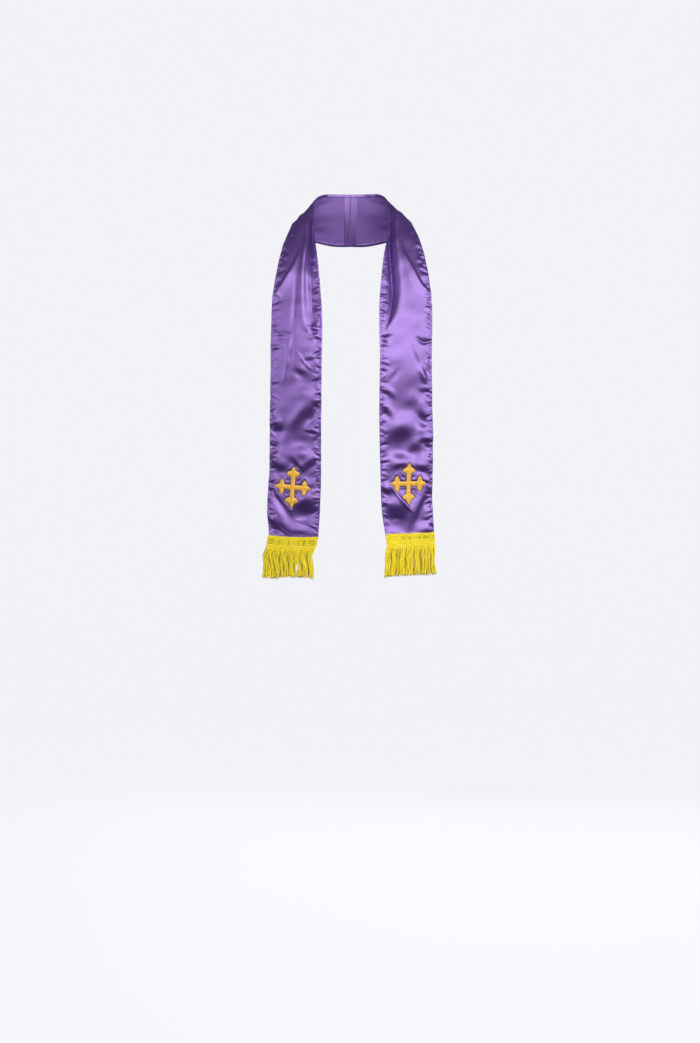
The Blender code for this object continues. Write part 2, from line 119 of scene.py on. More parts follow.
# Creases of the worn cloth. Each runs through its knots, and "lean" makes its outer side steeper.
# A negative rise is a trough, and a "sharp" below 2 gives it a keener line.
CREASES = {
    "left": (
        Crease("neck valley", 0.25, (
            Knot(104, 0, 6, 0), Knot(150, 3, 8, -8), Knot(200, 9, 8.5, -16), Knot(240, 17.5, 9, -18),
            Knot(280, 24, 9, -18), Knot(320, 27.5, 9, -17), Knot(350, 26, 8.5, -13),
            Knot(378, 20, 7, -7), Knot(402, 10, 5, 0)), 1.25),
        Crease("neck roll", -0.2, (
            Knot(104, 14, 10, 0), Knot(150, 18, 11, 3.0), Knot(200, 25, 12, 4.0), Knot(240, 34, 13, 4.5),
            Knot(280, 41, 14, 4), Knot(320, 45, 15, 3.2), Knot(360, 44, 15, 2), Knot(400, 38, 15, 0))),
        Crease("shoulder break", 0.55, (
            Knot(232, 42, 8, 0), Knot(256, 55, 8, 1.6), Knot(282, 69, 7, 2.8), Knot(306, 80, 7, 3.4),
            Knot(322, 91, 6, 3.2), Knot(330, 104, 5, 2.2)), 1.7),
        Crease("packing crease", 0.0, (
            Knot(418, 70, 3, 0), Knot(424, 78, 3.6, -2.0), Knot(430, 90, 4.6, -3.4),
            Knot(429, 104, 4.2, -2.2)), 1.6),
        Crease("light stripe", 0.2, (
            Knot(438, 70, 4, 0), Knot(462, 77, 5, 1.8), Knot(490, 87, 5, 1.8), Knot(512, 95, 5, 0))),
        Crease("ridge under cross", -0.35, (
            Knot(696, 16, 4, 0), Knot(707, 24, 4.5, 2.4), Knot(726, 37, 5, 3.2), Knot(743, 51, 5, 3.0),
            Knot(752, 60, 4, 0.5)), 1.5),
        Crease("nape hollow", 0.0, (Knot(8, 34, 12, 0), Knot(50, 42, 13, -3), Knot(98, 54, 10, 0))),
        Crease("nape swell", 0.0, (Knot(30, 88, 12, 0), Knot(74, 80, 12, 3), Knot(122, 70, 10, 0))),
        Crease("shoulder fold", 0.2, (Knot(84, 30, 6, 0), Knot(120, 46, 7, 1.6), Knot(168, 62, 8, 0))),
        Crease("neck crease", 0.0, (Knot(20, 8, 5, 0), Knot(56, 20, 6, 1.8), Knot(96, 26, 6, 0))),
        Crease("back crease", 0.0, (Knot(46, 56, 6, 0), Knot(84, 74, 7, -1.7), Knot(126, 92, 6, 0))),
    ),
    "right": (
        Crease("neck valley", 0.25, (
            Knot(104, 0, 6, 0), Knot(150, 4, 8, -8), Knot(200, 12, 9, -14), Knot(240, 19, 10, -12),
            Knot(290, 22, 10, -8), Knot(340, 22, 10, -7), Knot(376, 20, 9, -5),
            Knot(396, 17, 8, 0)), 1.35),
        Crease("neck ridge", -0.35, (
            Knot(104, 8, 7, 0), Knot(150, 11, 7, 3), Knot(200, 21, 7, 4.5), Knot(240, 32, 7, 4.5),
            Knot(280, 37.5, 7, 4), Knot(330, 39.5, 8, 3), Knot(372, 38, 7, 2.4), Knot(394, 33, 5, 2.0),
            Knot(406, 21, 4, 1.6), Knot(410, 10, 4, 0))),
        Crease("ridge line", 0.0, (
            Knot(276, 31, 2.2, 0), Knot(300, 32, 2.4, -1.3), Knot(350, 31, 2.6, -1.5), Knot(384, 28, 3, 0))),
        Crease("soft valley", 0.0, (
            Knot(292, 54, 5, 0), Knot(330, 55, 5, -1.1), Knot(370, 57, 5, -1.1), Knot(408, 61, 5, 0))),
        Crease("shoulder break", 0.55, (
            Knot(236, 43, 8, 0), Knot(260, 56, 8, 1.6), Knot(284, 68, 7, 2.8), Knot(306, 81, 7, 3.4),
            Knot(324, 93, 6, 3.0), Knot(336, 105, 5, 2.0)), 1.7),
        Crease("packing crease", -0.3, (
            Knot(407, 105, 2.2, -1.0), Knot(408, 90, 2.2, -1.4), Knot(408, 70, 2.0, -1.1),
            Knot(406, 56, 2, 0))),
        Crease("stripe", 0.0, (
            Knot(404, 62, 4, 0), Knot(440, 68, 3.5, 1.2), Knot(480, 73, 3.5, 1.1), Knot(512, 80, 4, 0))),
        Crease("stripe hollow", 0.0, (
            Knot(408, 54, 4, 0), Knot(446, 60, 4, -1.0), Knot(490, 64, 4, 0))),
        Crease("fine ridge", 0.3, (
            Knot(440, 53, 2.4, 0), Knot(452, 44, 2.6, 1.0), Knot(472, 26, 2.6, 1.1), Knot(478, 18, 2.4, 0))),
        Crease("thin crease", 0.3, (
            Knot(762, 101, 1.8, 0), Knot(772, 91, 2.0, 1.5), Knot(786, 76, 2.0, 1.9),
            Knot(797, 61, 2.0, 1.6), Knot(802, 54, 1.8, 0)), 1.4),
        Crease("lower crease", 0.3, (
            Knot(764, 52, 2, 0), Knot(769, 36, 2.0, 1.2), Knot(773, 20, 2.0, 1.5),
            Knot(779, 5, 1.8, 1.2)), 1.4),
        Crease("nape hollow", 0.0, (Knot(8, 34, 12, 0), Knot(50, 42, 13, -3), Knot(98, 54, 10, 0))),
        Crease("nape swell", 0.0, (Knot(30, 88, 12, 0), Knot(74, 80, 12, 3), Knot(122, 70, 10, 0))),
        Crease("shoulder fold", 0.2, (Knot(84, 32, 6, 0), Knot(120, 50, 7, 1.6), Knot(168, 66, 8, 0))),
        Crease("neck crease", 0.0, (Knot(24, 10, 5, 0), Knot(60, 22, 6, 1.6), Knot(98, 28, 6, 0))),
        Crease("back crease", 0.0, (Knot(42, 60, 6, 0), Knot(80, 78, 7, -1.7), Knot(120, 94, 6, 0))),
    ),
}

# Soft buckles between the creases: where, half their size down and across, the way they tip
# (0 is down the strip) and how steeply. A positive tilt faces up.
BUCKLES = {
    "left": (
        Buckle(209, 87, 5, 10, 0, -0.46), Buckle(240, 90, 7, 8, 10, -0.22),
        Buckle(271, 90, 6, 7, 15, -0.42), Buckle(289, 94, 5, 7, -10, -0.36),
        Buckle(304, 11, 5, 8, -15, -0.36), Buckle(352, 11, 5, 8, -10, -0.40),
        Buckle(373, 9, 4, 7, 0, -0.34), Buckle(412, 13, 6, 9, 0, -0.56),
        Buckle(481, 82, 26, 5, 22, 0.26), Buckle(488, 25, 8, 14, 50, -0.28),
        Buckle(523, 16, 8, 13, -45, -0.56), Buckle(558, 14, 8, 13, -55, -0.54),
        Buckle(522, 93, 7, 11, -10, -0.50), Buckle(541, 84, 14, 8, 15, 0.20),
        Buckle(545, 60, 16, 18, 0, -0.10), Buckle(572, 88, 9, 17, -50, -0.42),
        Buckle(602, 40, 25, 24, 8, -0.50), Buckle(645, 38, 15, 20, -8, 0.42),
        Buckle(590, 86, 13, 14, -12, 0.42), Buckle(617, 92, 7, 12, 0, -0.64),
        Buckle(646, 92, 14, 10, 0, 0.34), Buckle(630, 68, 18, 10, -25, -0.42),
        Buckle(664, 38, 7, 13, 12, -0.36), Buckle(672, 86, 9, 18, -15, -0.58),
        Buckle(711, 12, 9, 10, -15, -0.50), Buckle(728, 13, 7, 9, -15, 0.28),
        Buckle(754, 30, 25, 20, -20, -0.60), Buckle(766, 28, 6, 9, 0, 0.20),
        Buckle(745, 77, 12, 34, 62, -0.66), Buckle(777, 88, 13, 16, 20, 0.46),
        Buckle(768, 96, 4, 8, 0, -0.36), Buckle(450, 30, 18, 16, 10, 0.08),
        Buckle(522, 52, 46, 34, 0, -0.10),
    ),
    "right": (
        Buckle(213, 84, 5, 10, 0, -0.44), Buckle(246, 92, 5, 8, 0, -0.38),
        Buckle(264, 92, 5, 8, 10, -0.36), Buckle(284, 90, 5, 7, 0, -0.30),
        Buckle(262, 14, 7, 9, 0, 0.34), Buckle(300, 18, 18, 9, 0, -0.16),
        Buckle(356, 11, 7, 7, 0, 0.32), Buckle(388, 12, 9, 8, 0, 0.30),
        Buckle(400, 17, 5, 12, 8, -0.50), Buckle(411, 20, 6, 10, 8, 0.36),
        Buckle(373, 92, 5, 7, 20, -0.28), Buckle(415, 86, 6, 11, 0, -0.44),
        Buckle(441, 93, 5, 8, 0, -0.44), Buckle(456, 25, 6, 11, -20, -0.46),
        Buckle(482, 42, 9, 11, 35, -0.48), Buckle(512, 36, 20, 22, 0, 0.26),
        Buckle(560, 29, 15, 34, -50, -0.62), Buckle(578, 14, 10, 9, -40, 0.34),
        Buckle(595, 17, 5, 14, 8, -0.66), Buckle(628, 36, 21, 24, 0, 0.44),
        Buckle(661, 46, 8, 14, 50, -0.58), Buckle(658, 22, 9, 22, -42, -0.60),
        Buckle(591, 90, 14, 12, 0, -0.56), Buckle(638, 92, 13, 9, 0, 0.34),
        Buckle(668, 84, 14, 16, 10, -0.46), Buckle(729, 80, 5, 24, 50, -0.44),
        Buckle(742, 82, 9, 24, 52, 0.52), Buckle(778, 84, 14, 24, 40, -0.58),
        Buckle(740, 30, 24, 22, 0, -0.58), Buckle(790, 40, 8, 14, 0, -0.30),
        Buckle(506, 96, 5, 8, 0, -0.34), Buckle(688, 18, 10, 10, -30, 0.30),
        Buckle(474, 56, 44, 36, 0, -0.07),
    ),
}

# Sizes of the gathers beside the hems: their height, half widths along and across, how far
# their middles stand from the edge, how they lean and how far apart they come.
Gather = namedtuple("Gather", "tall wide reach middle lean space")
GATHERS = (
    Gather(0.70, (1.3, 2.4), (2.5, 5.5), (2.0, 7.0), 0.7, (2.6, 6.0)),
    Gather(1.35, (2.6, 4.6), (4.5, 8.5), (4.0, 11.0), 0.5, (9.0, 19.0)),
)

# The creases fade out over this stretch beside the centre-back seam.
NAPE_CALM = 25.0

# How strongly the stitching puckers each edge: (along, inner edge, outer edge).
PUCKER_STRENGTH = {
    "left": ((0, 0.3, 0.3), (150, 0.4, 0.6), (230, 0.9, 1.0), (330, 1.0, 1.0), (430, 1.0, 0.7),
             (520, 0.9, 0.8), (640, 0.8, 1.1), (740, 0.8, 1.2), (803, 0.5, 0.7)),
    "right": ((0, 0.3, 0.3), (150, 0.4, 0.6), (230, 0.7, 1.0), (330, 1.1, 0.8), (430, 1.1, 0.6),
              (520, 0.9, 0.8), (640, 0.9, 1.1), (740, 0.8, 1.0), (803, 0.5, 0.7)),
}

CROSSES = {
    "left": Cross(698.5, 55.6, 2.0, 39.2, 36.4),
    "right": Cross(703.8, 55.4, -1.3, 38.6, 36.2),
}

# Width of a cross's plain bars, and the dents that the embroidery leaves between its arms.
CROSS_BAR = 8.4
Dent = namedtuple("Dent", "x y deep")
CROSS_DENTS = (
    Dent(-10.6, -12.6, 1.5),
    Dent(11.0, -12.2, 1.3),
    Dent(-9.8, 11.0, 1.0),
    Dent(10.6, 11.4, 1.1),
)

# One bud of a cross, measured from its tip along the arm: where the side lobes stand, how far
# they reach from the arm's middle, half their width at the root, and how pointed they are.
Bud = namedtuple("Bud", "lobe_at reach half point tip_half")
BUDS = {
    "left": {
        "up": Bud(14.0, 13.2, 6.8, 0.80, 5.0),
        "down": Bud(14.0, 13.2, 6.8, 0.80, 5.0),
        "inner": Bud(13.0, 14.8, 5.2, 0.50, 4.8),
        "outer": Bud(13.4, 14.4, 5.4, 0.50, 5.0),
    },
    "right": {
        "up": Bud(13.2, 12.8, 6.0, 0.42, 4.9),
        "down": Bud(13.6, 13.0, 6.0, 0.50, 4.9),
        "inner": Bud(12.6, 14.0, 5.0, 0.45, 4.8),
        "outer": Bud(13.6, 14.2, 5.2, 0.50, 4.9),
    },
}
TIP_ROOT = 3.0
LOBE_FOOT = 1.2
BAR_UNDERLAP = 0.6

# Sideways drift of the fringe from its heading to the cut ends, at its inner and outer side.
SWAYS = {
    "left": (
        Sway(0.0, -0.5, 2.5),
        Sway(0.15, -3.0, 2.8),
        Sway(0.35, -5.6, 1.8),
        Sway(0.6, -5.2, 1.0),
        Sway(0.8, -6.2, 2.6),
        Sway(1.0, -7.8, 4.6),
    ),
    "right": (
        Sway(0.0, 2.5, 5.5),
        Sway(0.15, 7.0, 8.0),
        Sway(0.35, 9.5, 13.0),
        Sway(0.55, 7.2, 12.5),
        Sway(1.0, 6.0, 14.0),
    ),
}

# Gaps between cords, as a share of the width from the inner side, over a share of their drop.
SLITS = {
    "left": (
        Slit(0.400, 2.0, 0.35, 0.75),
        Slit(0.480, 1.6, 0.60, 1.00),
        Slit(0.591, 2.2, 0.30, 0.95),
        Slit(0.700, 3.0, 0.02, 0.90),
        Slit(0.864, 2.4, 0.30, 0.80),
    ),
    "right": (
        Slit(0.340, 6.5, 0.50, 0.92),
        Slit(0.900, 1.8, 0.50, 0.85),
    ),
}

# Length of the cords below the heading against their share of the width from the inner side.
CORD_LENGTH = {
    "left": ((0.0, 57.8), (0.3, 56.6), (0.7, 56.4), (1.0, 56.0)),
    "right": ((0.0, 60.0), (0.12, 57.5), (0.35, 56.0), (0.62, 57.0), (0.70, 60.8), (1.0, 61.5)),
}
CORD_UNEVEN = 2.2
CORD_COUNT = 48

# Only slits wider than this part the back cords too.
WIDE_SLIT = 4.0
BUNDLE_PULL = 0.26

# How far the middles of the cords stand off the satin: in the heading, and in both layers below.
HEADING_STAND = 1.35
FRONT_STAND = 3.7
BACK_STAND = 0.6

# The open mesh of the heading: rows of small holes where neighbouring cords cross in turn.
MESH_TOP = 8.6
MESH_PITCH = 7.6
MESH_REACH = 0.95
MESH_END = {"left": 13.5, "right": 19.0}
MESH_FROM = {"left": (0.12, 0.35), "right": (-0.1, 0.0)}
HEADING_LAP = 8.0
HEADING_RAISE = {"left": 2.6, "right": -1.0}
HEADING_SAG = {"left": 0.3, "right": 2.2}
HEADING_HANG = 0.55
FRINGE_FROM = {"left": 1.2, "right": 0.6}
FRINGE_WIDTH = {"left": 103.0, "right": 105.0}

# The satin's turned allowances at the centre-back seam and under the fringe.
SEAM_TURNED = 11.5
END_TURNED = 8.2

# Chains worked across the heading: distance below its top, half their height, thread, lift.
Chain = namedtuple("Chain", "below half thick lift")
CHAINS = (
    Chain(1.8, 1.1, 0.50, 1.75),
    Chain(4.5, 1.1, 0.48, 1.5),
)

# Loops of the heading's threads at both of its ends: their upper and lower turn below the top.
LOOPS = ((2.0, 8.4), (12.0, 16.6))

# Painted shade: a near-black colour painted on the satin along each cross's outline, where the embroidery
# meets the cloth.
CROSS_OUTLINE_SHADE = (0.060, 0.010, 0.050, 1.0)
# Painted shade on the fringe: the dark orange that the cords are mixed towards. The back cords take nearly
# all of it, and the front cords take a little at random as tone.
PAINTED_CORD_SHADE = (0.40, 0.23, 0.004, 1.0)
FRAYED_COLOUR = (1.0, 0.92, 0.36, 1.0)


# Sizes and colours


def length_property(name, description, default, low, high):
    return FloatProperty(
        name=name, description=description, default=default, min=low, max=high, precision=5,
        unit="LENGTH")


def colour_property(name, description, default):
    return FloatVectorProperty(
        name=name, description=description, default=default, size=4, min=0.0, max=1.0,
        subtype="COLOR")


class StoleCloth(bpy.types.PropertyGroup):
    """Sizes of the satin strip."""

    wall: length_property(
        "Cloth thickness", "Thickness of the single satin layer", 0.0005, 0.0002, 0.002)
    hem_width: length_property(
        "Hem width", "Width of the hem turned to the wrong side", 0.005, 0.002, 0.02)
    row_pitch: length_property(
        "Row pitch", "Distance between the rows of the cloth's mesh", 0.00136, 0.001, 0.01)
    columns: IntProperty(
        name="Columns", description="Columns of the mesh between the two hems",
        default=50, min=10, max=80)
    pucker: length_property(
        "Pucker height", "How far the hem stitching gathers the satin up", 0.0010, 0.0, 0.003)
    seed: IntProperty(
        name="Pucker seed", description="Seed for the places of the puckers", default=11)


class StoleStitching(bpy.types.PropertyGroup):
    """Sizes of the running stitches."""

    pitch: length_property(
        "Stitch pitch", "Distance from one stitch to the next", 0.0048, 0.002, 0.01)
    length: length_property(
        "Stitch length", "Length of thread that shows of each stitch", 0.0031, 0.001, 0.008)
    thread: length_property(
        "Thread thickness", "Diameter of the sewing thread", 0.00042, 0.0002, 0.001)
    inset: length_property(
        "Stitch line", "Distance of the stitches from the folded edge", 0.0044, 0.001, 0.01)


class StoleEmbroidery(bpy.types.PropertyGroup):
    """Sizes of the embroidered crosses."""

    bar: length_property(
        "Bar width", "Width of the cross's plain bars", CROSS_BAR * MM, 0.003, 0.02)
    padding: length_property(
        "Padding", "How far the satin stitch stands up in its middle", 0.0017, 0.0005, 0.004)
    thread: length_property(
        "Thread thickness", "Diameter of the embroidery thread", 0.00052, 0.0003, 0.001)
    pitch: length_property(
        "Thread pitch", "Distance between neighbouring satin stitches", 0.00046, 0.0003, 0.001)


class StoleFringe(bpy.types.PropertyGroup):
    """Sizes of the fringes."""

    heading: length_property(
        "Heading height", "Height of the worked heading above the cords", 0.020, 0.01, 0.04)
    ply: length_property("Ply thickness", "Diameter of one ply of a cord", 0.00225, 0.001, 0.003)
    twist: length_property(
        "Twist pitch", "Length of cord in which its plies turn once", 0.0084, 0.004, 0.02)
    seed: IntProperty(
        name="Fringe seed", description="Seed for the uneven hang of the cords", default=5)


class StoleColours(bpy.types.PropertyGroup):
    """Colours of the stole's cloth and threads."""

    satin: colour_property("Satin", "Right side of the satin", (0.168, 0.068, 0.352, 1.0))
    wrong_side: colour_property("Wrong side", "Dull side of the satin", (0.215, 0.120, 0.400, 1.0))
    sewing: colour_property("Sewing thread", "Thread of the hems", (0.20, 0.10, 0.40, 1.0))
    gold: colour_property("Gold", "Middle of the satin stitch", (0.94, 0.55, 0.052, 1.0))
    # Painted highlight: the ends of the satin stitches are painted lighter than their middles, which gives
    # each part of the cross a light rim.
    gold_edge_highlight: colour_property("Gold edge", "Ends of the satin stitch", (0.98, 0.73, 0.24, 1.0))
    fringe: colour_property("Fringe", "Fringe cords", (1.0, 0.83, 0.028, 1.0))
    floor: colour_property("Floor", "Plain pale floor", (0.905, 0.912, 0.945, 1.0))


# Shape of the worn cloth


def spline(knots, values, at):
    """Natural cubic spline through the rows of values, read at the places given."""
    knots = np.asarray(knots, dtype=float)
    values = np.asarray(values, dtype=float)
    at = np.clip(np.asarray(at, dtype=float), knots[0], knots[-1])
    count = len(knots)
    step = np.diff(knots)
    slope = np.diff(values, axis=0) / step[:, None]
    system = np.eye(count)
    target = np.zeros_like(values)
    for row in range(1, count - 1):
        system[row, row - 1] = step[row - 1]
        system[row, row] = 2.0 * (step[row - 1] + step[row])
        system[row, row + 1] = step[row]
        target[row] = 6.0 * (slope[row] - slope[row - 1])
    bend = np.linalg.solve(system, target)
    place = np.clip(np.searchsorted(knots, at) - 1, 0, count - 2)
    width = step[place][:, None]
    right = (at - knots[place])[:, None]
    left = width - right
    curve = (bend[place] * left**3 + bend[place + 1] * right**3) / (6.0 * width)
    line_a = (values[place] / width - bend[place] * width / 6.0) * left
    line_b = (values[place + 1] / width - bend[place + 1] * width / 6.0) * right
    return curve + line_a + line_b


def unit(vectors):
    """The same directions, each of length one."""
    return vectors / np.linalg.norm(vectors, axis=-1, keepdims=True)


def smooth(value, low, high):
    """0 below low, 1 above high and an even curve between them."""
    share = np.clip((value - low) / (high - low), 0.0, 1.0)
    return share * share * (3.0 - 2.0 * share)


def plain_surface(side, along, across):
    """Points of the strip's middle layer before its folds, as if worn on the wearer's left."""
    table = SECTIONS[side]
    knots = [row.along for row in table]
    values = [row[1:] for row in table]
    here = spline(knots, values, along)
    ahead = spline(knots, values, np.minimum(along + 1.0, HALF_LENGTH))
    behind = spline(knots, values, np.maximum(along - 1.0, 0.0))
    share = (across / BAND_WIDTH)[:, None]
    chord = here[:, 3:6] - here[:, 0:3]
    onward = (ahead - behind)[:, 0:3] + (ahead - behind)[:, 3:6]
    outward = unit(np.cross(onward, chord))
    stand = 4.0 * share * (1.0 - share) * here[:, 6:7]
    return here[:, 0:3] + chord * share + outward * stand


def crease_rise(side, along, across):
    """How far the creases lift the cloth, each along a smooth line through its knots."""
    rise = np.zeros_like(along)
    for crease in CREASES[side]:
        knots = np.array(crease.knots, dtype=float)
        run = np.concatenate([[0.0], np.cumsum(np.hypot(*np.diff(knots[:, :2], axis=0).T))])
        line = spline(run, knots, np.linspace(0.0, run[-1], 8 * len(knots)))
        margin = 3.2 * knots[:, 2].max()
        low, high = line[:, :2].min(axis=0) - margin, line[:, :2].max(axis=0) + margin
        near = np.flatnonzero(
            (along > low[0]) & (along < high[0]) & (across > low[1]) & (across < high[1]))
        best = np.full(len(near), 1e9)
        found = np.zeros((len(near), 3))
        for first, last in zip(line[:-1], line[1:]):
            way = last[:2] - first[:2]
            to_a, to_c = along[near] - first[0], across[near] - first[1]
            share = np.clip((to_a * way[0] + to_c * way[1]) / way.dot(way), 0.0, 1.0)
            off_a, off_c = to_a - share * way[0], to_c - share * way[1]
            off = np.hypot(off_a, off_c)
            closer = off < best
            best[closer] = off[closer]
            reach = first[2] + (last[2] - first[2]) * share
            lift = first[3] + (last[3] - first[3]) * share
            side_of = np.sign(off_c * way[0] - off_a * way[1])
            found[closer] = np.stack([reach, lift, side_of], axis=1)[closer]
        reach = found[:, 0] * (1.0 - crease.lean * found[:, 2])
        rise[near] += found[:, 1] * np.exp(-((best / reach) ** crease.sharp))
    return rise


def buckle_rise(side, along, across):
    """Height of the soft buckles, each a wave that tips one patch of cloth."""
    rise = np.zeros_like(along)
    for patch in BUCKLES[side]:
        turn = math.radians(patch.turn)
        to_a, to_c = along - patch.along, across - patch.across
        down = to_a * math.cos(turn) + to_c * math.sin(turn)
        over = -to_a * math.sin(turn) + to_c * math.cos(turn)
        window = np.exp(-((down / patch.down) ** 2) - (over / patch.over) ** 2)
        rise += patch.tilt * down * window
    return rise


def cross_distance(side, along, across):
    """Distance of places on the cut from the outline of the embroidered cross."""
    cross = CROSSES[side]
    angle = math.radians(cross.turn)
    to_c = across - cross.across
    to_a = along - cross.along
    x = to_c * math.cos(angle) + to_a * math.sin(angle)
    y = -to_c * math.sin(angle) + to_a * math.cos(angle)
    near = np.full_like(x, 1e3)
    for shape in cross_shapes(side, CROSS_BAR):
        to_x, to_y = x - shape.start[0], y - shape.start[1]
        down = to_x * shape.run[0] + to_y * shape.run[1]
        over = np.abs(-to_x * shape.run[1] + to_y * shape.run[0])
        share = np.clip(down / shape.length, 0.0, 1.0)
        half = shape.half(share)
        past = down - share * shape.length
        beside = np.hypot(past, np.maximum(over - half, 0.0))
        near = np.minimum(near, np.where(np.abs(past) > 0, beside, over - half))
    return near, x, y


def pucker_rise(side, along, across, height, seed):
    """Gathers that the hem stitches pull into the satin, small ones at the edge and wider ones."""
    rng = np.random.default_rng(seed + (0 if side == "left" else 100))
    table = np.array(PUCKER_STRENGTH[side])
    rise = np.zeros_like(along)
    for edge in (0, 1):
        from_edge = across if edge == 0 else BAND_WIDTH - across
        held = 0.45 + 0.55 * smooth(from_edge, 0.0, 4.0)
        for kind in GATHERS:
            place = rng.uniform(8.0, 14.0)
            while place < HALF_LENGTH - 12.0:
                strength = float(np.interp(place, table[:, 0], table[:, 1 + edge]))
                tall = height * kind.tall * strength * rng.uniform(0.4, 1.3)
                tall *= 1.0 if rng.random() < 0.5 else -1.15
                wide = rng.uniform(*kind.wide)
                reach = rng.uniform(*kind.reach)
                middle = rng.uniform(*kind.middle)
                lean = rng.uniform(-kind.lean, kind.lean)
                off = along - place - lean * (from_edge - middle)
                near = np.abs(off) < 3.0 * wide
                over = (from_edge[near] - middle) / reach
                rise[near] += tall * np.exp(-((off[near] / wide) ** 2) - over**2) * held[near]
                place += rng.uniform(*kind.space)
    return rise


def soft_ripple(side, along, across):
    """Slow uneven ripples of limp satin, less than a millimetre high."""
    rng = np.random.default_rng(71 if side == "left" else 72)
    ripple = np.zeros_like(along)
    for _ in range(14):
        length = rng.uniform(26.0, 80.0)
        turn = rng.uniform(-0.9, 0.9)
        phase = rng.uniform(0.0, 2.0 * math.pi)
        way = along * math.cos(turn) + across * math.sin(turn)
        tall = rng.uniform(0.05, 0.16) * length / 50.0
        ripple += tall * np.sin(2.0 * math.pi * way / length + phase)
    return ripple


class Cloth:
    """One half of the strip as a fine grid of points with their outward directions."""

    def __init__(self, side, sizes, stitching):
        self.side = side
        hem = sizes.hem_width / MM
        edge = np.array([0.0, 0.5, 1.5, 2.6, 3.6, 4.4, hem - 0.15, hem + 0.35])
        inside = np.linspace(hem + 1.4, BAND_WIDTH - hem - 1.4, sizes.columns)
        self.columns = np.concatenate([edge, inside, BAND_WIDTH - edge[::-1]])
        count = int(round(HALF_LENGTH / (sizes.row_pitch / MM)))
        self.rows = np.linspace(0.5 * SEAM_GAP, HALF_LENGTH, count)
        grid = np.meshgrid(self.rows, self.columns, indexing="ij")
        shape = grid[0].shape
        along, across = grid[0].ravel(), grid[1].ravel()
        self.from_edge = np.minimum(across, BAND_WIDTH - across)
        near_cross, x, y = cross_distance(side, along, across)
        self.near_cross = near_cross

        cross = CROSSES[side]
        from_cross = np.hypot(along - cross.along, across - cross.across)
        stiff = 0.35 + 0.65 * smooth(from_cross, 0.4 * cross.tall, 0.95 * cross.tall)
        rise = crease_rise(side, along, across) + buckle_rise(side, along, across)
        rise *= stiff * (1.0 - 0.8 * smooth(along, HALF_LENGTH - 16.0, HALF_LENGTH - 6.0))
        rise *= smooth(along, 0.0, NAPE_CALM)
        flat = smooth(near_cross, 0.0, 6.0)
        fine = pucker_rise(side, along, across, sizes.pucker / MM, sizes.seed)
        fine += soft_ripple(side, along, across)
        fine *= (0.1 + 0.9 * flat) * (1.0 - 0.85 * smooth(along, HALF_LENGTH - 14, HALF_LENGTH - 8))
        rise += fine * smooth(along, 0.0, 12.0)
        rise += self.cross_pull(near_cross, x, y)
        rise += self.stitch_dip(along, stitching)
        rise -= 0.35 * np.exp(-(((along - 0.15) / 1.2) ** 2))

        plain = plain_surface(side, along, across)
        out = self.facing(plain.reshape(*shape, 3)).reshape(-1, 3)
        middle = plain + out * rise[:, None]
        normals = self.facing(middle.reshape(*shape, 3))
        normals[0, :, 0] = 0.0
        self.out = unit(normals)
        self.middle = middle.reshape(*shape, 3)
        hem_share = 1.0 - smooth(self.from_edge, hem - 0.3, hem + 0.5).reshape(shape)
        seam_share = 1.0 - smooth(along, 11.0, 12.5).reshape(shape)
        end_share = smooth(along, HALF_LENGTH - 9.0, HALF_LENGTH - 7.5).reshape(shape)
        turned = np.maximum(hem_share, np.maximum(seam_share, end_share))
        wall = sizes.wall / MM
        roll = smooth(self.from_edge, 0.0, 1.6).reshape(shape)
        self.front = 0.5 * wall * (0.5 + 0.5 * roll) + 0.12 * hem_share * roll
        self.back = 0.5 * wall + 1.15 * wall * turned * (0.45 + 0.55 * roll)
        self.outer = self.middle + self.out * self.front[..., None]
        self.inner = self.middle - self.out * self.back[..., None]

    def facing(self, points):
        """Directions away from the body, from the slopes of a grid of points."""
        down = np.gradient(points, self.rows, axis=0)
        over = np.gradient(points, self.columns, axis=1)
        return unit(np.cross(down, over))

    def cross_pull(self, near, x, y):
        """The embroidery pulls the satin in along its outline and dents it between its arms."""
        pull = -0.55 * np.exp(-((near - 0.9) / 1.3) ** 2)
        ring = 0.45 * np.exp(-((near - 4.6) / 1.9) ** 2)
        angle = np.arctan2(y, x)
        ring *= 0.7 + 0.5 * np.sin(9.0 * angle + 1.0) + 0.4 * np.sin(17.0 * angle)
        for dent in CROSS_DENTS:
            pull -= dent.deep * np.exp(-(((x - dent.x) / 3.0) ** 2 + ((y - dent.y) / 3.6) ** 2))
        return pull + ring

    def stitch_dip(self, along, stitching):
        """A faint groove under the hem's stitches, deeper where the thread goes in."""
        line = self.from_edge - stitching.inset / MM
        pitch = stitching.pitch / MM
        bite = 0.5 - 0.5 * np.cos(2.0 * math.pi * along / pitch)
        return -(0.14 + 0.26 * bite) * np.exp(-((line / 1.0) ** 2))

    def at(self, along, across, lift=0.0):
        """Points above the satin's right side, and the outward directions there."""
        along = np.atleast_1d(np.asarray(along, dtype=float))
        across = np.atleast_1d(np.asarray(across, dtype=float))
        row = np.clip(np.searchsorted(self.rows, along) - 1, 0, len(self.rows) - 2)
        column = np.clip(np.searchsorted(self.columns, across) - 1, 0, len(self.columns) - 2)
        down = (along - self.rows[row]) / (self.rows[row + 1] - self.rows[row])
        over = (across - self.columns[column]) / (self.columns[column + 1] - self.columns[column])
        down = np.clip(down, 0.0, 1.0)[:, None]
        over = np.clip(over, 0.0, 1.0)[:, None]

        def read(field):
            near = field[row, column] * (1 - over) + field[row, column + 1] * over
            far = field[row + 1, column] * (1 - over) + field[row + 1, column + 1] * over
            return near * (1 - down) + far * down

        normal = unit(read(self.out))
        lift = np.broadcast_to(np.asarray(lift, dtype=float), along.shape)
        return read(self.outer) + normal * lift[:, None], normal


# Plan of a cross


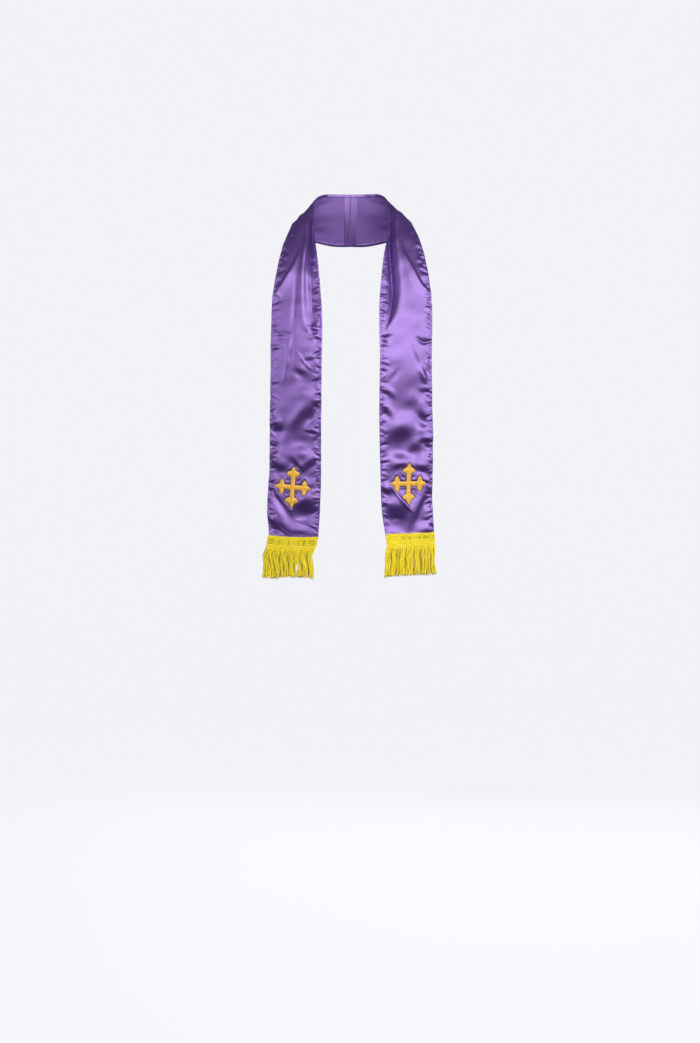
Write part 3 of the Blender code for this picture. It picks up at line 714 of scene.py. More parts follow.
class Shape:
    """One satin-stitched part of the cross: its axis, half its width along it and its height."""

    def __init__(self, start, end, half, tall=1.0):
        self.start = np.array(start, dtype=float)
        way = np.array(end, dtype=float) - self.start
        self.length = float(np.hypot(*way))
        self.run = way / self.length
        self.square = np.array([-self.run[1], self.run[0]])
        self.half = half
        self.tall = tall

    def plan(self, down, over):
        """Places in the cross's plan: the distances down the axis and over to its side."""
        return [self.start[k] + self.run[k] * down + self.square[k] * over for k in (0, 1)]


def lobe_half(bud):
    """Half the width of a side lobe, from its foot to its round head."""
    power = 1.0 + 1.2 * (1.2 - bud.point)

    def half(share):
        return bud.half * np.power(np.clip(1.0 - share**power, 0.0, 1.0), bud.point)
    return half


def tip_half(bud):
    """Half the width of a bud's middle lobe, from its root to its point."""
    def half(share):
        swell = 1.0 + 0.12 * np.sin(math.pi * np.clip(share * 1.2, 0.0, 1.0))
        return bud.tip_half * swell * np.power(np.clip(1.0 - share**2.4, 0.0, 1.0), 0.62)
    return half


def cross_shapes(side, bar):
    """The parts of one cross about its middle: x across the strip, y along it."""
    cross = CROSSES[side]
    buds = BUDS[side]
    shapes = []

    def bar_half(share):
        return 0.5 * bar * np.ones_like(share)

    arms = (
        ("up", (0.0, -1.0), cross.tall),
        ("down", (0.0, 1.0), cross.tall),
        ("inner", (-1.0, 0.0), cross.wide),
        ("outer", (1.0, 0.0), cross.wide),
    )
    for name, (dx, dy), tip in arms:
        bud = buds[name]
        way = np.array([dx, dy])
        square = np.array([-dy, dx])
        middle = way * (tip - bud.lobe_at)
        root = tip - bud.lobe_at - TIP_ROOT
        start = 0.0 if name in ("up", "down") else 0.5 * bar - BAR_UNDERLAP
        shapes.append(Shape(way * start, way * root, bar_half, 0.8))
        for turn in (-1.0, 1.0):
            foot = middle + square * turn * LOBE_FOOT
            head = middle + square * turn * bud.reach
            shapes.append(Shape(foot, head, lobe_half(bud)))
        shapes.append(Shape(way * root, way * tip, tip_half(bud), 1.1))
    return shapes


# Meshes and node trees


def place(side, points):
    """Points in millimetres, put on their side of the body, in metres."""
    sign = 1.0 if side == "left" else -1.0
    return np.asarray(points, dtype=float) * (sign * MM, MM, MM)


def add_mesh(name, side, points, faces, materials, edges=()):
    """A mesh object in the shared frame, its faces turned outwards on both sides."""
    mesh = bpy.data.meshes.new(name)
    if side == "right":
        faces = [face[::-1] for face in faces]
    mesh.from_pydata(place(side, points).tolist(), list(edges), faces)
    for material in materials:
        mesh.materials.append(material)
    if len(mesh.polygons):
        mesh.shade_smooth()
    piece = bpy.data.objects.new(name, mesh)
    bpy.context.scene.collection.objects.link(piece)
    return piece


def slab_faces(tall, wide):
    """Faces of a closed slab between two grids of points, the upper grid's points first."""
    under = tall * wide
    faces = []
    for i in range(tall - 1):
        for j in range(wide - 1):
            a, b = i * wide + j, i * wide + j + 1
            c, d = a + wide, b + wide
            faces.append((a, c, d, b))
            faces.append((under + a, under + b, under + d, under + c))
    for i in range(tall - 1):
        for shift in (0, wide - 1):
            a, c = i * wide + shift, (i + 1) * wide + shift
            face = (a, under + a, under + c, c)
            faces.append(face if shift == 0 else face[::-1])
    for j in range(wide - 1):
        for shift in (0, under - wide):
            a, b = j + shift, j + 1 + shift
            face = (a, b, under + b, under + a)
            faces.append(face if shift == 0 else face[::-1])
    return faces


def add_paths(name, side, paths, fields):
    """Open runs of edges with values at their points, for a node tree to work along."""
    points = np.concatenate(paths)
    edges = []
    first = 0
    for path in paths:
        edges += [(first + i, first + i + 1) for i in range(len(path) - 1)]
        first += len(path)
    piece = add_mesh(name, side, points, [], [], edges)
    for key, values in fields.items():
        flat = np.concatenate(values).astype(float)
        if flat.ndim == 2:
            flat = flat * ((1.0 if side == "left" else -1.0), 1.0, 1.0)
            layer = piece.data.attributes.new(key, "FLOAT_VECTOR", "POINT")
            layer.data.foreach_set("vector", flat.ravel())
        else:
            layer = piece.data.attributes.new(key, "FLOAT", "POINT")
            layer.data.foreach_set("value", flat)
    return piece


class Tree:
    """A geometry node tree with named inputs, built from short calls."""

    def __init__(self, name, inputs):
        self.tree = bpy.data.node_groups.new(name, "GeometryNodeTree")
        face = self.tree.interface
        face.new_socket("Geometry", in_out="INPUT", socket_type="NodeSocketGeometry")
        for label, kind, default in inputs:
            socket = face.new_socket(label, in_out="INPUT", socket_type="NodeSocket" + kind)
            if default is not None:
                socket.default_value = default
        face.new_socket("Geometry", in_out="OUTPUT", socket_type="NodeSocketGeometry")
        self.input = self.tree.nodes.new("NodeGroupInput")
        self.output = self.tree.nodes.new("NodeGroupOutput")

    def node(self, kind, inputs=None, **settings):
        node = self.tree.nodes.new(kind)
        for key, value in settings.items():
            setattr(node, key, value)
        for key, value in (inputs or {}).items():
            self.feed(node.inputs[key], value)
        return node

    def feed(self, socket, value):
        if isinstance(value, bpy.types.NodeSocket):
            self.tree.links.new(value, socket)
        elif isinstance(value, bpy.types.Node):
            self.tree.links.new(value.outputs[0], socket)
        else:
            socket.default_value = value

    def value(self, label):
        return self.input.outputs[label]

    def maths(self, operation, first, second=None):
        inputs = {0: first}
        if second is not None:
            inputs[1] = second
        return self.node("ShaderNodeMath", inputs, operation=operation)

    def vector(self, operation, first, second=None, scale=None):
        inputs = {0: first}
        if second is not None:
            inputs[1] = second
        node = self.node("ShaderNodeVectorMath", inputs, operation=operation)
        if scale is not None:
            self.feed(node.inputs["Scale"], scale)
        return node

    def attribute(self, name, kind="FLOAT"):
        return self.node("GeometryNodeInputNamedAttribute", {"Name": name}, data_type=kind).outputs[0]

    def store(self, geometry, name, value, kind="FLOAT"):
        return self.node(
            "GeometryNodeStoreNamedAttribute", {"Geometry": geometry, "Name": name, "Value": value},
            data_type=kind, domain="POINT")

    def sweep(self, curve, radius, sides):
        """A round thread along a curve, with capped ends."""
        ring = self.node("GeometryNodeCurvePrimitiveCircle", {"Resolution": sides, "Radius": radius})
        body = self.node("GeometryNodeCurveToMesh", {"Curve": curve, "Profile Curve": ring.outputs[0]})
        body.inputs["Fill Caps"].default_value = True
        return body

    def close(self, geometry, material):
        real = self.node("GeometryNodeRealizeInstances", {0: geometry})
        named = self.node("GeometryNodeSetMaterial", {"Geometry": real, "Material": material})
        smooth_faces = self.node("GeometryNodeSetShadeSmooth", {0: named})
        self.tree.links.new(smooth_faces.outputs[0], self.output.inputs[0])

    def apply(self, piece, values):
        """The tree's result on a piece, as its plain mesh."""
        modifier = piece.modifiers.new(self.tree.name, "NODES")
        modifier.node_group = self.tree
        for item in self.tree.interface.items_tree:
            if item.in_out == "INPUT" and item.name in values:
                modifier[item.identifier] = values[item.name]
        bpy.context.view_layer.update()
        graph = bpy.context.evaluated_depsgraph_get()
        mesh = bpy.data.meshes.new_from_object(piece.evaluated_get(graph))
        mesh.name = piece.name
        old = piece.data
        piece.modifiers.clear()
        piece.data = mesh
        bpy.data.meshes.remove(old)
        return piece


def plied_cord_tree():
    """Twists two plies round each path. "thick" scales them, and each cord's painted shade is kept to the
    side that faces the front.
    """
    tree = Tree("plied cord", (
        ("Ply radius", "Float", 0.001), ("Ply offset", "Float", 0.001),
        ("Twist pitch", "Float", 0.008), ("Sides", "Int", 6), ("Cord", "Material", None)))
    curve = tree.node("GeometryNodeMeshToCurve", {0: tree.input.outputs[0]})
    parameter = tree.node("GeometryNodeSplineParameter")
    turns = tree.maths("DIVIDE", parameter.outputs["Length"], tree.value("Twist pitch"))
    turns = tree.maths("ADD", turns, tree.attribute("turn"))
    angle = tree.maths("MULTIPLY", turns, 2.0 * math.pi)
    normal = tree.node("GeometryNodeInputNormal")
    tangent = tree.node("GeometryNodeInputTangent")
    binormal = tree.vector("CROSS_PRODUCT", tangent, normal)
    thick = tree.attribute("thick")
    reach = tree.maths("MULTIPLY", thick, tree.value("Ply offset"))
    widest = tree.maths("ADD", tree.value("Ply offset"), tree.value("Ply radius"))
    place_on = tree.node("GeometryNodeInputPosition").outputs[0]
    middled = tree.store(curve, "middle", place_on, "FLOAT_VECTOR")
    join = tree.node("GeometryNodeJoinGeometry")
    middle = tree.attribute("middle", "FLOAT_VECTOR")
    full = tree.maths("MULTIPLY", thick, widest)
    for ply in (0, 1):
        turned = tree.maths("ADD", angle, ply * math.pi)
        part_a = tree.vector("SCALE", normal, scale=tree.maths("COSINE", turned))
        part_b = tree.vector("SCALE", binormal, scale=tree.maths("SINE", turned))
        offset = tree.vector("SCALE", tree.vector("ADD", part_a, part_b), scale=reach)
        moved = tree.node("GeometryNodeSetPosition", {"Geometry": middled, "Offset": offset})
        body = tree.sweep(moved, tree.value("Ply radius"), tree.value("Sides"))
        tree.feed(body.inputs["Scale"], thick)
        # Painted shade: strongest on the side of each ply that faces the front (-Y), fading to none on the
        # side behind, so cords seen from behind keep their colour.
        apart = tree.vector("SUBTRACT", place_on, middle)
        behind = tree.maths("DIVIDE", tree.node("ShaderNodeSeparateXYZ", {0: apart}).outputs[1], full)
        front = tree.maths("SUBTRACT", 0.5, tree.maths("MULTIPLY", behind, 1.2))
        front = tree.maths("MINIMUM", tree.maths("MAXIMUM", front, 0.0), 1.0)
        painted_shade_and_tone = tree.maths("MULTIPLY", front, tree.attribute("painted_shade_and_tone"))
        shaded = tree.store(body, "painted_shade_and_tone", painted_shade_and_tone)
        tree.tree.links.new(shaded.outputs[0], join.inputs[0])
    tree.close(join, tree.value("Cord"))
    return tree


def arched_stitch_tree():
    """Lays one thread over each short path, arched up along "facing" by "puff"."""
    tree = Tree("arched stitch", (
        ("Thread radius", "Float", 0.0002), ("Points", "Int", 7), ("Sides", "Int", 4),
        ("Thread", "Material", None)))
    curve = tree.node("GeometryNodeMeshToCurve", {0: tree.input.outputs[0]})
    fine = tree.node("GeometryNodeResampleCurve", {"Curve": curve, "Count": tree.value("Points")})
    share = tree.node("GeometryNodeSplineParameter").outputs["Factor"]
    from_middle = tree.maths("SUBTRACT", tree.maths("MULTIPLY", share, 2.0), 1.0)
    squared = tree.maths("MULTIPLY", from_middle, from_middle)
    arch = tree.maths("POWER", tree.maths("SUBTRACT", 1.0, squared), 0.62)
    lift = tree.maths("MULTIPLY", arch, tree.attribute("puff"))
    offset = tree.vector("SCALE", tree.attribute("facing", "FLOAT_VECTOR"), scale=lift)
    bent = tree.node("GeometryNodeSetPosition", {"Geometry": fine, "Offset": offset})
    marked = tree.store(bent, "from_middle", tree.maths("ABSOLUTE", from_middle))
    body = tree.sweep(marked, tree.value("Thread radius"), tree.value("Sides"))
    tree.close(body, tree.value("Thread"))
    return tree


def running_stitch_tree():
    """Sets stitches at an even pitch along each path, flat on the cloth by "facing"."""
    tree = Tree("running stitch", (
        ("Pitch", "Float", 0.005), ("Stitch length", "Float", 0.003),
        ("Thread radius", "Float", 0.0002), ("Seed", "Int", 3), ("Thread", "Material", None)))
    curve = tree.node("GeometryNodeMeshToCurve", {0: tree.input.outputs[0]})
    spaced = tree.node(
        "GeometryNodeResampleCurve", {"Curve": curve, "Length": tree.value("Pitch")}, mode="LENGTH")
    points = tree.node("GeometryNodeCurveToPoints", {"Curve": spaced}, mode="EVALUATED")
    half = tree.maths("MULTIPLY", tree.value("Stitch length"), 0.5)
    start = tree.maths("MULTIPLY", half, -1.0)
    sink = tree.maths("MULTIPLY", tree.value("Thread radius"), -1.6)
    top = tree.maths("MULTIPLY", tree.value("Thread radius"), 3.2)
    first = tree.node("ShaderNodeCombineXYZ", {0: start, 2: sink})
    last = tree.node("ShaderNodeCombineXYZ", {0: half, 2: sink})
    crown = tree.node("ShaderNodeCombineXYZ", {2: top})
    arc = tree.node("GeometryNodeCurveQuadraticBezier",
                    {"Resolution": 6, "Start": first, "Middle": crown, "End": last})
    stitch = tree.sweep(arc, tree.value("Thread radius"), 5)
    aim = tree.node("FunctionNodeAlignRotationToVector", {"Vector": points.outputs["Tangent"]}, axis="X")
    flat = tree.node(
        "FunctionNodeAlignRotationToVector",
        {"Rotation": aim, "Vector": tree.attribute("facing", "FLOAT_VECTOR")}, axis="Z", pivot_axis="X")
    size = tree.node("FunctionNodeRandomValue", data_type="FLOAT")
    size.inputs[2].default_value = 0.82
    size.inputs[3].default_value = 1.12
    tree.feed(size.inputs["Seed"], tree.value("Seed"))
    set_in = tree.node("GeometryNodeInstanceOnPoints", {
        "Points": points.outputs["Points"], "Instance": stitch, "Rotation": flat,
        "Scale": tree.node("ShaderNodeCombineXYZ", {0: size.outputs[1], 1: 1.0, 2: 1.0})})
    tree.close(set_in, tree.value("Thread"))
    return tree


# Materials


class Paint:
    """Short calls for a material's or a group's nodes."""

    def __init__(self, tree):
        self.tree = tree

    def node(self, kind, inputs=None, **settings):
        node = self.tree.nodes.new(kind)
        for key, value in settings.items():
            setattr(node, key, value)
        for key, value in (inputs or {}).items():
            if isinstance(value, bpy.types.NodeSocket):
                self.tree.links.new(value, node.inputs[key])
            else:
                node.inputs[key].default_value = value
        return node

    def maths(self, operation, first, second=0.0):
        return self.node("ShaderNodeMath", {0: first, 1: second}, operation=operation).outputs[0]

    def mix(self, share, first, second):
        node = self.node("ShaderNodeMix", data_type="RGBA")
        for index, value in ((0, share), (6, first), (7, second)):
            if isinstance(value, bpy.types.NodeSocket):
                self.tree.links.new(value, node.inputs[index])
            else:
                node.inputs[index].default_value = value
        return node.outputs[2]

    def link(self, output, socket):
        self.tree.links.new(output, socket)

    def attribute(self, name):
        return self.node("ShaderNodeAttribute", attribute_name=name).outputs["Fac"]

    def bump(self, shader, grain, strength, distance):
        """Raises the surface by the grain's height."""
        bump = self.node("ShaderNodeBump", {
            "Strength": strength, "Distance": distance, "Height": grain.outputs["Height"]})
        self.link(bump.outputs[0], shader.inputs["Normal"])


def set_inputs(shader, values):
    for key, value in values.items():
        shader.inputs[key].default_value = value


def weave_group():
    """Threads of a woven or plied surface: a fine height and a soft streak along the thread."""
    group = bpy.data.node_groups.new("thread_grain", "ShaderNodeTree")
    face = group.interface
    face.new_socket("Place", in_out="INPUT", socket_type="NodeSocketVector")
    for label, default in (("Across scale", 1800.0), ("Along scale", 60.0), ("Mottle scale", 30.0)):
        face.new_socket(label, in_out="INPUT", socket_type="NodeSocketFloat").default_value = default
    for label in ("Height", "Streak", "Mottle"):
        face.new_socket(label, in_out="OUTPUT", socket_type="NodeSocketFloat")
    paint = Paint(group)
    entry = paint.node("NodeGroupInput")
    leave = paint.node("NodeGroupOutput")
    scale = paint.node("ShaderNodeCombineXYZ", {
        0: entry.outputs["Across scale"], 1: entry.outputs["Along scale"],
        2: entry.outputs["Across scale"]}).outputs[0]
    stretched = paint.node(
        "ShaderNodeVectorMath", {0: entry.outputs["Place"], 1: scale}, operation="MULTIPLY")
    streak = paint.node("ShaderNodeTexNoise", {
        "Vector": stretched.outputs[0], "Scale": 1.0, "Detail": 3.0, "Roughness": 0.6})
    mottle = paint.node("ShaderNodeTexNoise", {
        "Vector": entry.outputs["Place"], "Scale": entry.outputs["Mottle scale"], "Detail": 2.0})
    paint.link(streak.outputs[0], leave.inputs["Height"])
    paint.link(streak.outputs[0], leave.inputs["Streak"])
    paint.link(mottle.outputs[0], leave.inputs["Mottle"])
    return group


def tone(colour, factor):
    return (colour[0] * factor, colour[1] * factor, colour[2] * factor, 1.0)


def new_material(name):
    material = bpy.data.materials.new(name)
    material.use_nodes = True
    shader = material.node_tree.nodes["Principled BSDF"]
    return material, shader, Paint(material.node_tree)


def grain_node(paint, group, vector, across, along, mottle):
    node = paint.node("ShaderNodeGroup", node_tree=group)
    paint.link(vector, node.inputs["Place"])
    set_inputs(node, {"Across scale": across, "Along scale": along, "Mottle scale": mottle})
    return node


SATIN_GLOSS = {
    "Roughness": 0.43, "Metallic": 0.78, "Specular IOR Level": 1.0, "IOR": 1.95,
    "Coat Weight": 0.38, "Sheen Weight": 0.10, "Anisotropic": 0.5}
SATIN_DULL = {
    "Roughness": 0.62, "Metallic": 0.1, "Specular IOR Level": 0.3, "IOR": 1.5,
    "Coat Weight": 0.0, "Sheen Weight": 0.3}


def satin_material(name, colour, group, glossy):
    material, shader, paint = new_material(name)
    cut = paint.node("ShaderNodeUVMap", uv_map="cut").outputs[0]
    grain = grain_node(paint, group, cut, 2200.0, 70.0, 26.0)
    streaked = paint.mix(grain.outputs["Streak"], tone(colour, 0.88), tone(colour, 1.12))
    mottled = paint.mix(grain.outputs["Mottle"], tone(colour, 0.94), tone(colour, 1.06))
    body = paint.mix(0.5, streaked, mottled)
    if glossy:
        # Painted shade along the cross's outline, mixed into the right side's colour.
        body = paint.mix(paint.attribute("painted_outline_shade"), body, CROSS_OUTLINE_SHADE)
        tangent = paint.node("ShaderNodeTangent", direction_type="UV_MAP", uv_map="cut")
        paint.link(tangent.outputs[0], shader.inputs["Tangent"])
    paint.link(body, shader.inputs["Base Color"])
    paint.bump(shader, grain, 0.12, 0.0002)
    set_inputs(shader, {
        "Specular Tint": (0.96, 0.88, 1.0, 1.0), "Coat Roughness": 0.40, "Coat IOR": 1.9,
        "Sheen Roughness": 0.4, "Sheen Tint": (0.72, 0.58, 1.0, 1.0)})
    set_inputs(shader, SATIN_GLOSS if glossy else SATIN_DULL)
    return material


def thread_material(name, colour, group, rough=0.45):
    material, shader, paint = new_material(name)
    place_at = paint.node("ShaderNodeTexCoord").outputs["Object"]
    grain = grain_node(paint, group, place_at, 900.0, 900.0, 120.0)
    body = paint.mix(grain.outputs["Streak"], tone(colour, 0.8), tone(colour, 1.18))
    paint.link(body, shader.inputs["Base Color"])
    set_inputs(shader, {"Roughness": rough, "Sheen Weight": 0.3, "Specular IOR Level": 0.5})
    return material


def gold_material(name, core, edge, group):
    material, shader, paint = new_material(name)
    place_at = paint.node("ShaderNodeTexCoord").outputs["Object"]
    grain = grain_node(paint, group, place_at, 700.0, 700.0, 90.0)
    # Painted highlight: each stitch lightens from its middle towards its ends, at the edges of the cross's
    # parts.
    share = paint.maths("POWER", paint.attribute("from_middle"), 2.2)
    body = paint.mix(share, core, edge)
    varied = paint.mix(grain.outputs["Mottle"], tone(core, 0.86), tone(core, 1.16))
    body = paint.mix(0.3, body, varied)
    paint.link(body, shader.inputs["Base Color"])
    paint.bump(shader, grain, 0.15, 0.0001)
    set_inputs(shader, {
        "Roughness": 0.36, "Specular IOR Level": 0.7, "Specular Tint": (1.0, 0.9, 0.7, 1.0),
        "Sheen Weight": 0.15})
    return material


def cord_material(name, colour, group):
    material, shader, paint = new_material(name)
    place_at = paint.node("ShaderNodeTexCoord").outputs["Object"]
    grain = grain_node(paint, group, place_at, 1500.0, 260.0, 70.0)
    body = paint.mix(grain.outputs["Streak"], tone(colour, 0.84), tone(colour, 1.13))
    mottled = paint.mix(grain.outputs["Mottle"], tone(colour, 0.9), tone(colour, 1.08))
    body = paint.mix(0.4, body, mottled)
    # Painted shade, with some random tone on the front cords: the colour is mixed towards the dark orange by
    # this value.
    dark = paint.maths("MULTIPLY", paint.attribute("painted_shade_and_tone"), 0.8)
    paint.link(paint.mix(dark, body, PAINTED_CORD_SHADE), shader.inputs["Base Color"])
    paint.bump(shader, grain, 0.4, 0.0003)
    set_inputs(shader, {
        "Roughness": 0.5, "Specular IOR Level": 0.5, "Specular Tint": (1.0, 0.95, 0.7, 1.0),
        "Sheen Weight": 0.25, "Sheen Tint": (1.0, 0.93, 0.4, 1.0)})
    return material


def shared_grain():
    return bpy.data.node_groups.get("thread_grain") or weave_group()


# Pieces


def satin_faces(cloth):
    """The closed shell of one half: its points, quads, cut coordinates and which are dull."""
    rows, columns = cloth.outer.shape[:2]
    edge_in = unit(cloth.middle[:, 0] - cloth.middle[:, 1])
    edge_out = unit(cloth.middle[:, -1] - cloth.middle[:, -2])

    def rim(front, back, away):
        return [front * (1 - share) + back * share + away * 0.34 for share in (0.3, 0.7)]

    rim_out = rim(cloth.outer[:, -1], cloth.inner[:, -1], edge_out)
    rim_in = rim(cloth.inner[:, 0], cloth.outer[:, 0], edge_in)
    ring = np.concatenate([
        cloth.outer, rim_out[0][:, None], rim_out[1][:, None],
        cloth.inner[:, ::-1], rim_in[0][:, None], rim_in[1][:, None]], axis=1)
    count = ring.shape[1]
    across = np.concatenate([
        cloth.columns, [BAND_WIDTH + 0.4, BAND_WIDTH + 0.9],
        2 * BAND_WIDTH + 1.2 - cloth.columns[::-1], [2 * BAND_WIDTH + 1.6, 2 * BAND_WIDTH + 2.0]])
    flat = np.stack(np.meshgrid(cloth.rows, across, indexing="ij")[::-1], axis=-1).reshape(-1, 2)
    back = np.zeros(count, dtype=bool)
    back[columns + 2: 2 * columns + 2] = True
    hem = np.minimum(cloth.columns, BAND_WIDTH - cloth.columns)[::-1] < 5.2
    dull = np.zeros(count, dtype=bool)
    dull[columns + 2: 2 * columns + 2] = ~hem
    quads = []
    dull_quads = []
    for i in range(rows - 1):
        low, high = i * count, (i + 1) * count
        turned = cloth.rows[i] < SEAM_TURNED or cloth.rows[i] > HALF_LENGTH - END_TURNED
        for j in range(count):
            beside = (j + 1) % count
            quads.append((low + j, high + j, high + beside, low + beside))
            dull_quads.append(bool(dull[j] and dull[beside]) and not turned)
    for i, row in enumerate((0, rows - 1)):
        base = row * count
        for j in range(columns - 1):
            far = 2 * columns + 1 - j
            face = (base + j, base + j + 1, base + far - 1, base + far)
            quads.append(face if i == 0 else face[::-1])
            dull_quads.append(False)
        for face in (
            (base + columns - 1, base + columns, base + columns + 1, base + columns + 2),
            (base + 2 * columns + 1, base + 2 * columns + 2, base + 2 * columns + 3, base),
        ):
            quads.append(face if i == 0 else face[::-1])
            dull_quads.append(False)
    return ring.reshape(-1, 3), quads, flat, dull_quads, count


def build_satin(side, cloth, materials):
    """One half of the strip as a closed shell with its turned hems."""
    points, quads, flat, dull, count = satin_faces(cloth)
    piece = add_mesh(side + "_satin", side, points, quads, materials)
    mesh = piece.data
    mesh.polygons.foreach_set("material_index", np.array(dull, dtype=np.int32))
    corners = np.empty(len(mesh.loops), dtype=np.int32)
    mesh.loops.foreach_get("vertex_index", corners)
    layer = mesh.uv_layers.new(name="cut")
    layer.data.foreach_set("uv", (flat[corners] * MM).ravel())
    # Painted shade: full on the right side within 1 mm of the cross's outline, fading out by 3 mm.
    line = np.zeros((len(cloth.rows), count))
    near = cloth.near_cross.reshape(len(cloth.rows), -1)
    line[:, : near.shape[1]] = 1.0 - smooth(near, 1.0, 3.0)
    layer = mesh.attributes.new("painted_outline_shade", "FLOAT", "POINT")
    layer.data.foreach_set("value", line.ravel())
    return piece


def build_hem_stitches(side, cloth, sizes, material, tree):
    """Running stitches near both long edges of one half."""
    inset = sizes.inset / MM
    along = np.arange(2.0, HALF_LENGTH - HEADING_LAP - 1.0, 0.8)
    paths, facing = [], []
    for across in (inset, BAND_WIDTH - inset):
        points, normals = cloth.at(along, np.full_like(along, across), 0.5 * sizes.thread / MM)
        paths.append(points)
        facing.append(normals)
    piece = add_paths(side + "_hem_stitches", side, paths, {"facing": facing})
    return tree.apply(piece, {
        "Pitch": sizes.pitch, "Stitch length": sizes.length, "Thread radius": 0.5 * sizes.thread,
        "Seed": 3 if side == "left" else 4, "Thread": material})


def on_cross(cloth, side, x, y, lift):
    cross = CROSSES[side]
    angle = math.radians(cross.turn)
    across = cross.across + x * math.cos(angle) - y * math.sin(angle)
    along = cross.along + x * math.sin(angle) + y * math.cos(angle)
    return cloth.at(along, across, lift)


def build_cross_padding(side, cloth, sizes, material):
    """Padding under the satin stitch, one low dome for each part of the cross."""
    points, faces = [], []
    first = 0
    levels = np.array([-1.0, -0.8, -0.45, 0.0, 0.45, 0.8, 1.0])
    for shape in cross_shapes(side, sizes.bar / MM):
        count = max(6, int(shape.length / 0.9))
        share = np.linspace(0.0, 0.985, count)[:, None]
        half = np.maximum(shape.half(share) - 0.25, 0.15)
        tall = (sizes.padding / MM - 0.35) * shape.tall * np.clip(half / 3.6, 0.25, 1.0)
        x, y = shape.plan(share * shape.length, half * levels)
        lift = 0.12 + tall * np.power(1.0 - levels**2, 0.62)
        top, _ = on_cross(cloth, side, x.ravel(), y.ravel(), lift.ravel())
        base, _ = on_cross(cloth, side, x.ravel(), y.ravel(), 0.06)
        points += [top, base]
        faces += [tuple(first + k for k in face[::-1]) for face in slab_faces(count, len(levels))]
        first += 2 * count * len(levels)
    return add_mesh(side + "_cross_padding", side, np.concatenate(points), faces, [material])


def build_cross_threads(side, cloth, sizes, material, tree):
    """Satin stitch over the padding: close threads square to each part's axis."""
    rng = np.random.default_rng(21 if side == "left" else 22)
    paths, facing, puff = [], [], []
    ends = np.array([-1.0, 0.0, 1.0])
    for shape in cross_shapes(side, sizes.bar / MM):
        for down in np.arange(0.15, shape.length - 0.1, sizes.pitch / MM):
            half = float(shape.half(np.array(down / shape.length))) + rng.uniform(-0.12, 0.12)
            if half < 0.5:
                continue
            skew = rng.uniform(-0.12, 0.12)
            x, y = shape.plan(down + skew * ends, half * ends)
            points, normals = on_cross(cloth, side, x, y, 0.1)
            tall = (sizes.padding / MM) * shape.tall * min(max(half / 3.9, 0.3), 1.05)
            paths.append(points)
            facing.append(normals)
            puff.append(np.full(3, (tall + rng.uniform(-0.06, 0.06)) * MM))
    piece = add_paths(side + "_cross_threads", side, paths, {"facing": facing, "puff": puff})
    return tree.apply(piece, {
        "Thread radius": 0.5 * sizes.thread, "Points": 8, "Sides": 4, "Thread": material})


class FringeFrame:
    """Where the heading and the cords of one fringe lie, measured from the strip's end."""

    def __init__(self, side, cloth, sizes):
        self.side = side
        self.heading = sizes.heading / MM + HEADING_RAISE[side]
        share = np.linspace(0.0, 1.0, 2 * CORD_COUNT + 1)
        across = FRINGE_FROM[side] + share * FRINGE_WIDTH[side]
        inside = np.clip(across, 0.0, BAND_WIDTH)
        top = HALF_LENGTH - HEADING_LAP - HEADING_RAISE[side] + HEADING_SAG[side] * np.sin(math.pi * share)
        start, out = cloth.at(top, inside)
        hem, _ = cloth.at(np.full_like(across, HALF_LENGTH - 0.01), inside)
        self.over = unit(hem[-1] - hem[0])
        start = start + self.over * (across - inside)[:, None]
        self.share = share
        self.start = start
        fall = unit(hem + self.over * (across - inside)[:, None] - start)
        self.down = unit(fall * (1.0 - HEADING_HANG) + np.array([0.0, 0.0, -1.0]) * HEADING_HANG)
        self.out = unit(out)

    def read(self, field, share):
        return np.stack([np.interp(share, self.share, field[:, k]) for k in range(3)], axis=-1)

    def on_heading(self, share, below, lift):
        """Points of the heading: a share of its width, the distance below its top, the lift."""
        share = np.atleast_1d(share)
        below = np.broadcast_to(np.asarray(below, dtype=float), share.shape)
        lift = np.broadcast_to(np.asarray(lift, dtype=float), share.shape)
        inside = np.clip(share, 0.0, 1.0)
        points = self.read(self.start, inside)
        points = points + self.over * ((share - inside) * FRINGE_WIDTH[self.side])[:, None]
        points = points + self.read(self.down, inside) * below[:, None]
        root = np.array([fringe_shift(self.side, one, 0.0) for one in inside])
        points = points + self.over * (root * below / self.heading)[:, None]
        return points + self.read(self.out, inside) * lift[:, None]


def fringe_shift(side, share, down, front=True):
    """Sideways move of a place on the fringe: its sway and the slits between its cords."""
    rows = SWAYS[side]
    knots = [row.down for row in rows]
    inner, outer = spline(knots, [row[1:] for row in rows], np.array([down]))[0]
    shift = inner + (outer - inner) * share
    for slit in (slit for slit in SLITS[side] if front or slit.width > WIDE_SLIT):
        middle = 0.5 * (slit.start + slit.end)
        opening = smooth(down, slit.start, middle) * (1.0 - smooth(down, middle, slit.end + 0.15))
        off = share - slit.share
        push = 0.5 * slit.width * math.exp(-abs(off) / 0.12)
        shift += math.copysign(push, off) * opening
    return shift


def cord_drop(side, index, share):
    """Length of one cord below the heading. Neighbours end unevenly."""
    shares, lengths = zip(*CORD_LENGTH[side])
    uneven = math.sin(index * 2.4 + 0.7) + 0.6 * math.sin(index * 5.3 + 2.0)
    return float(np.interp(share, shares, lengths)) + 0.5 * CORD_UNEVEN * uneven


def cord_bundles(rng):
    """The share of the width that each front cord is drawn to, in bundles of one to three."""
    front = CORD_COUNT // 2
    middles, start = [], 0
    while start < front:
        count = min(int(rng.choice((1, 2, 2, 3, 3))), front - start)
        middles += [(2.0 * start + count - 0.5) / CORD_COUNT] * count
        start += count
    return middles


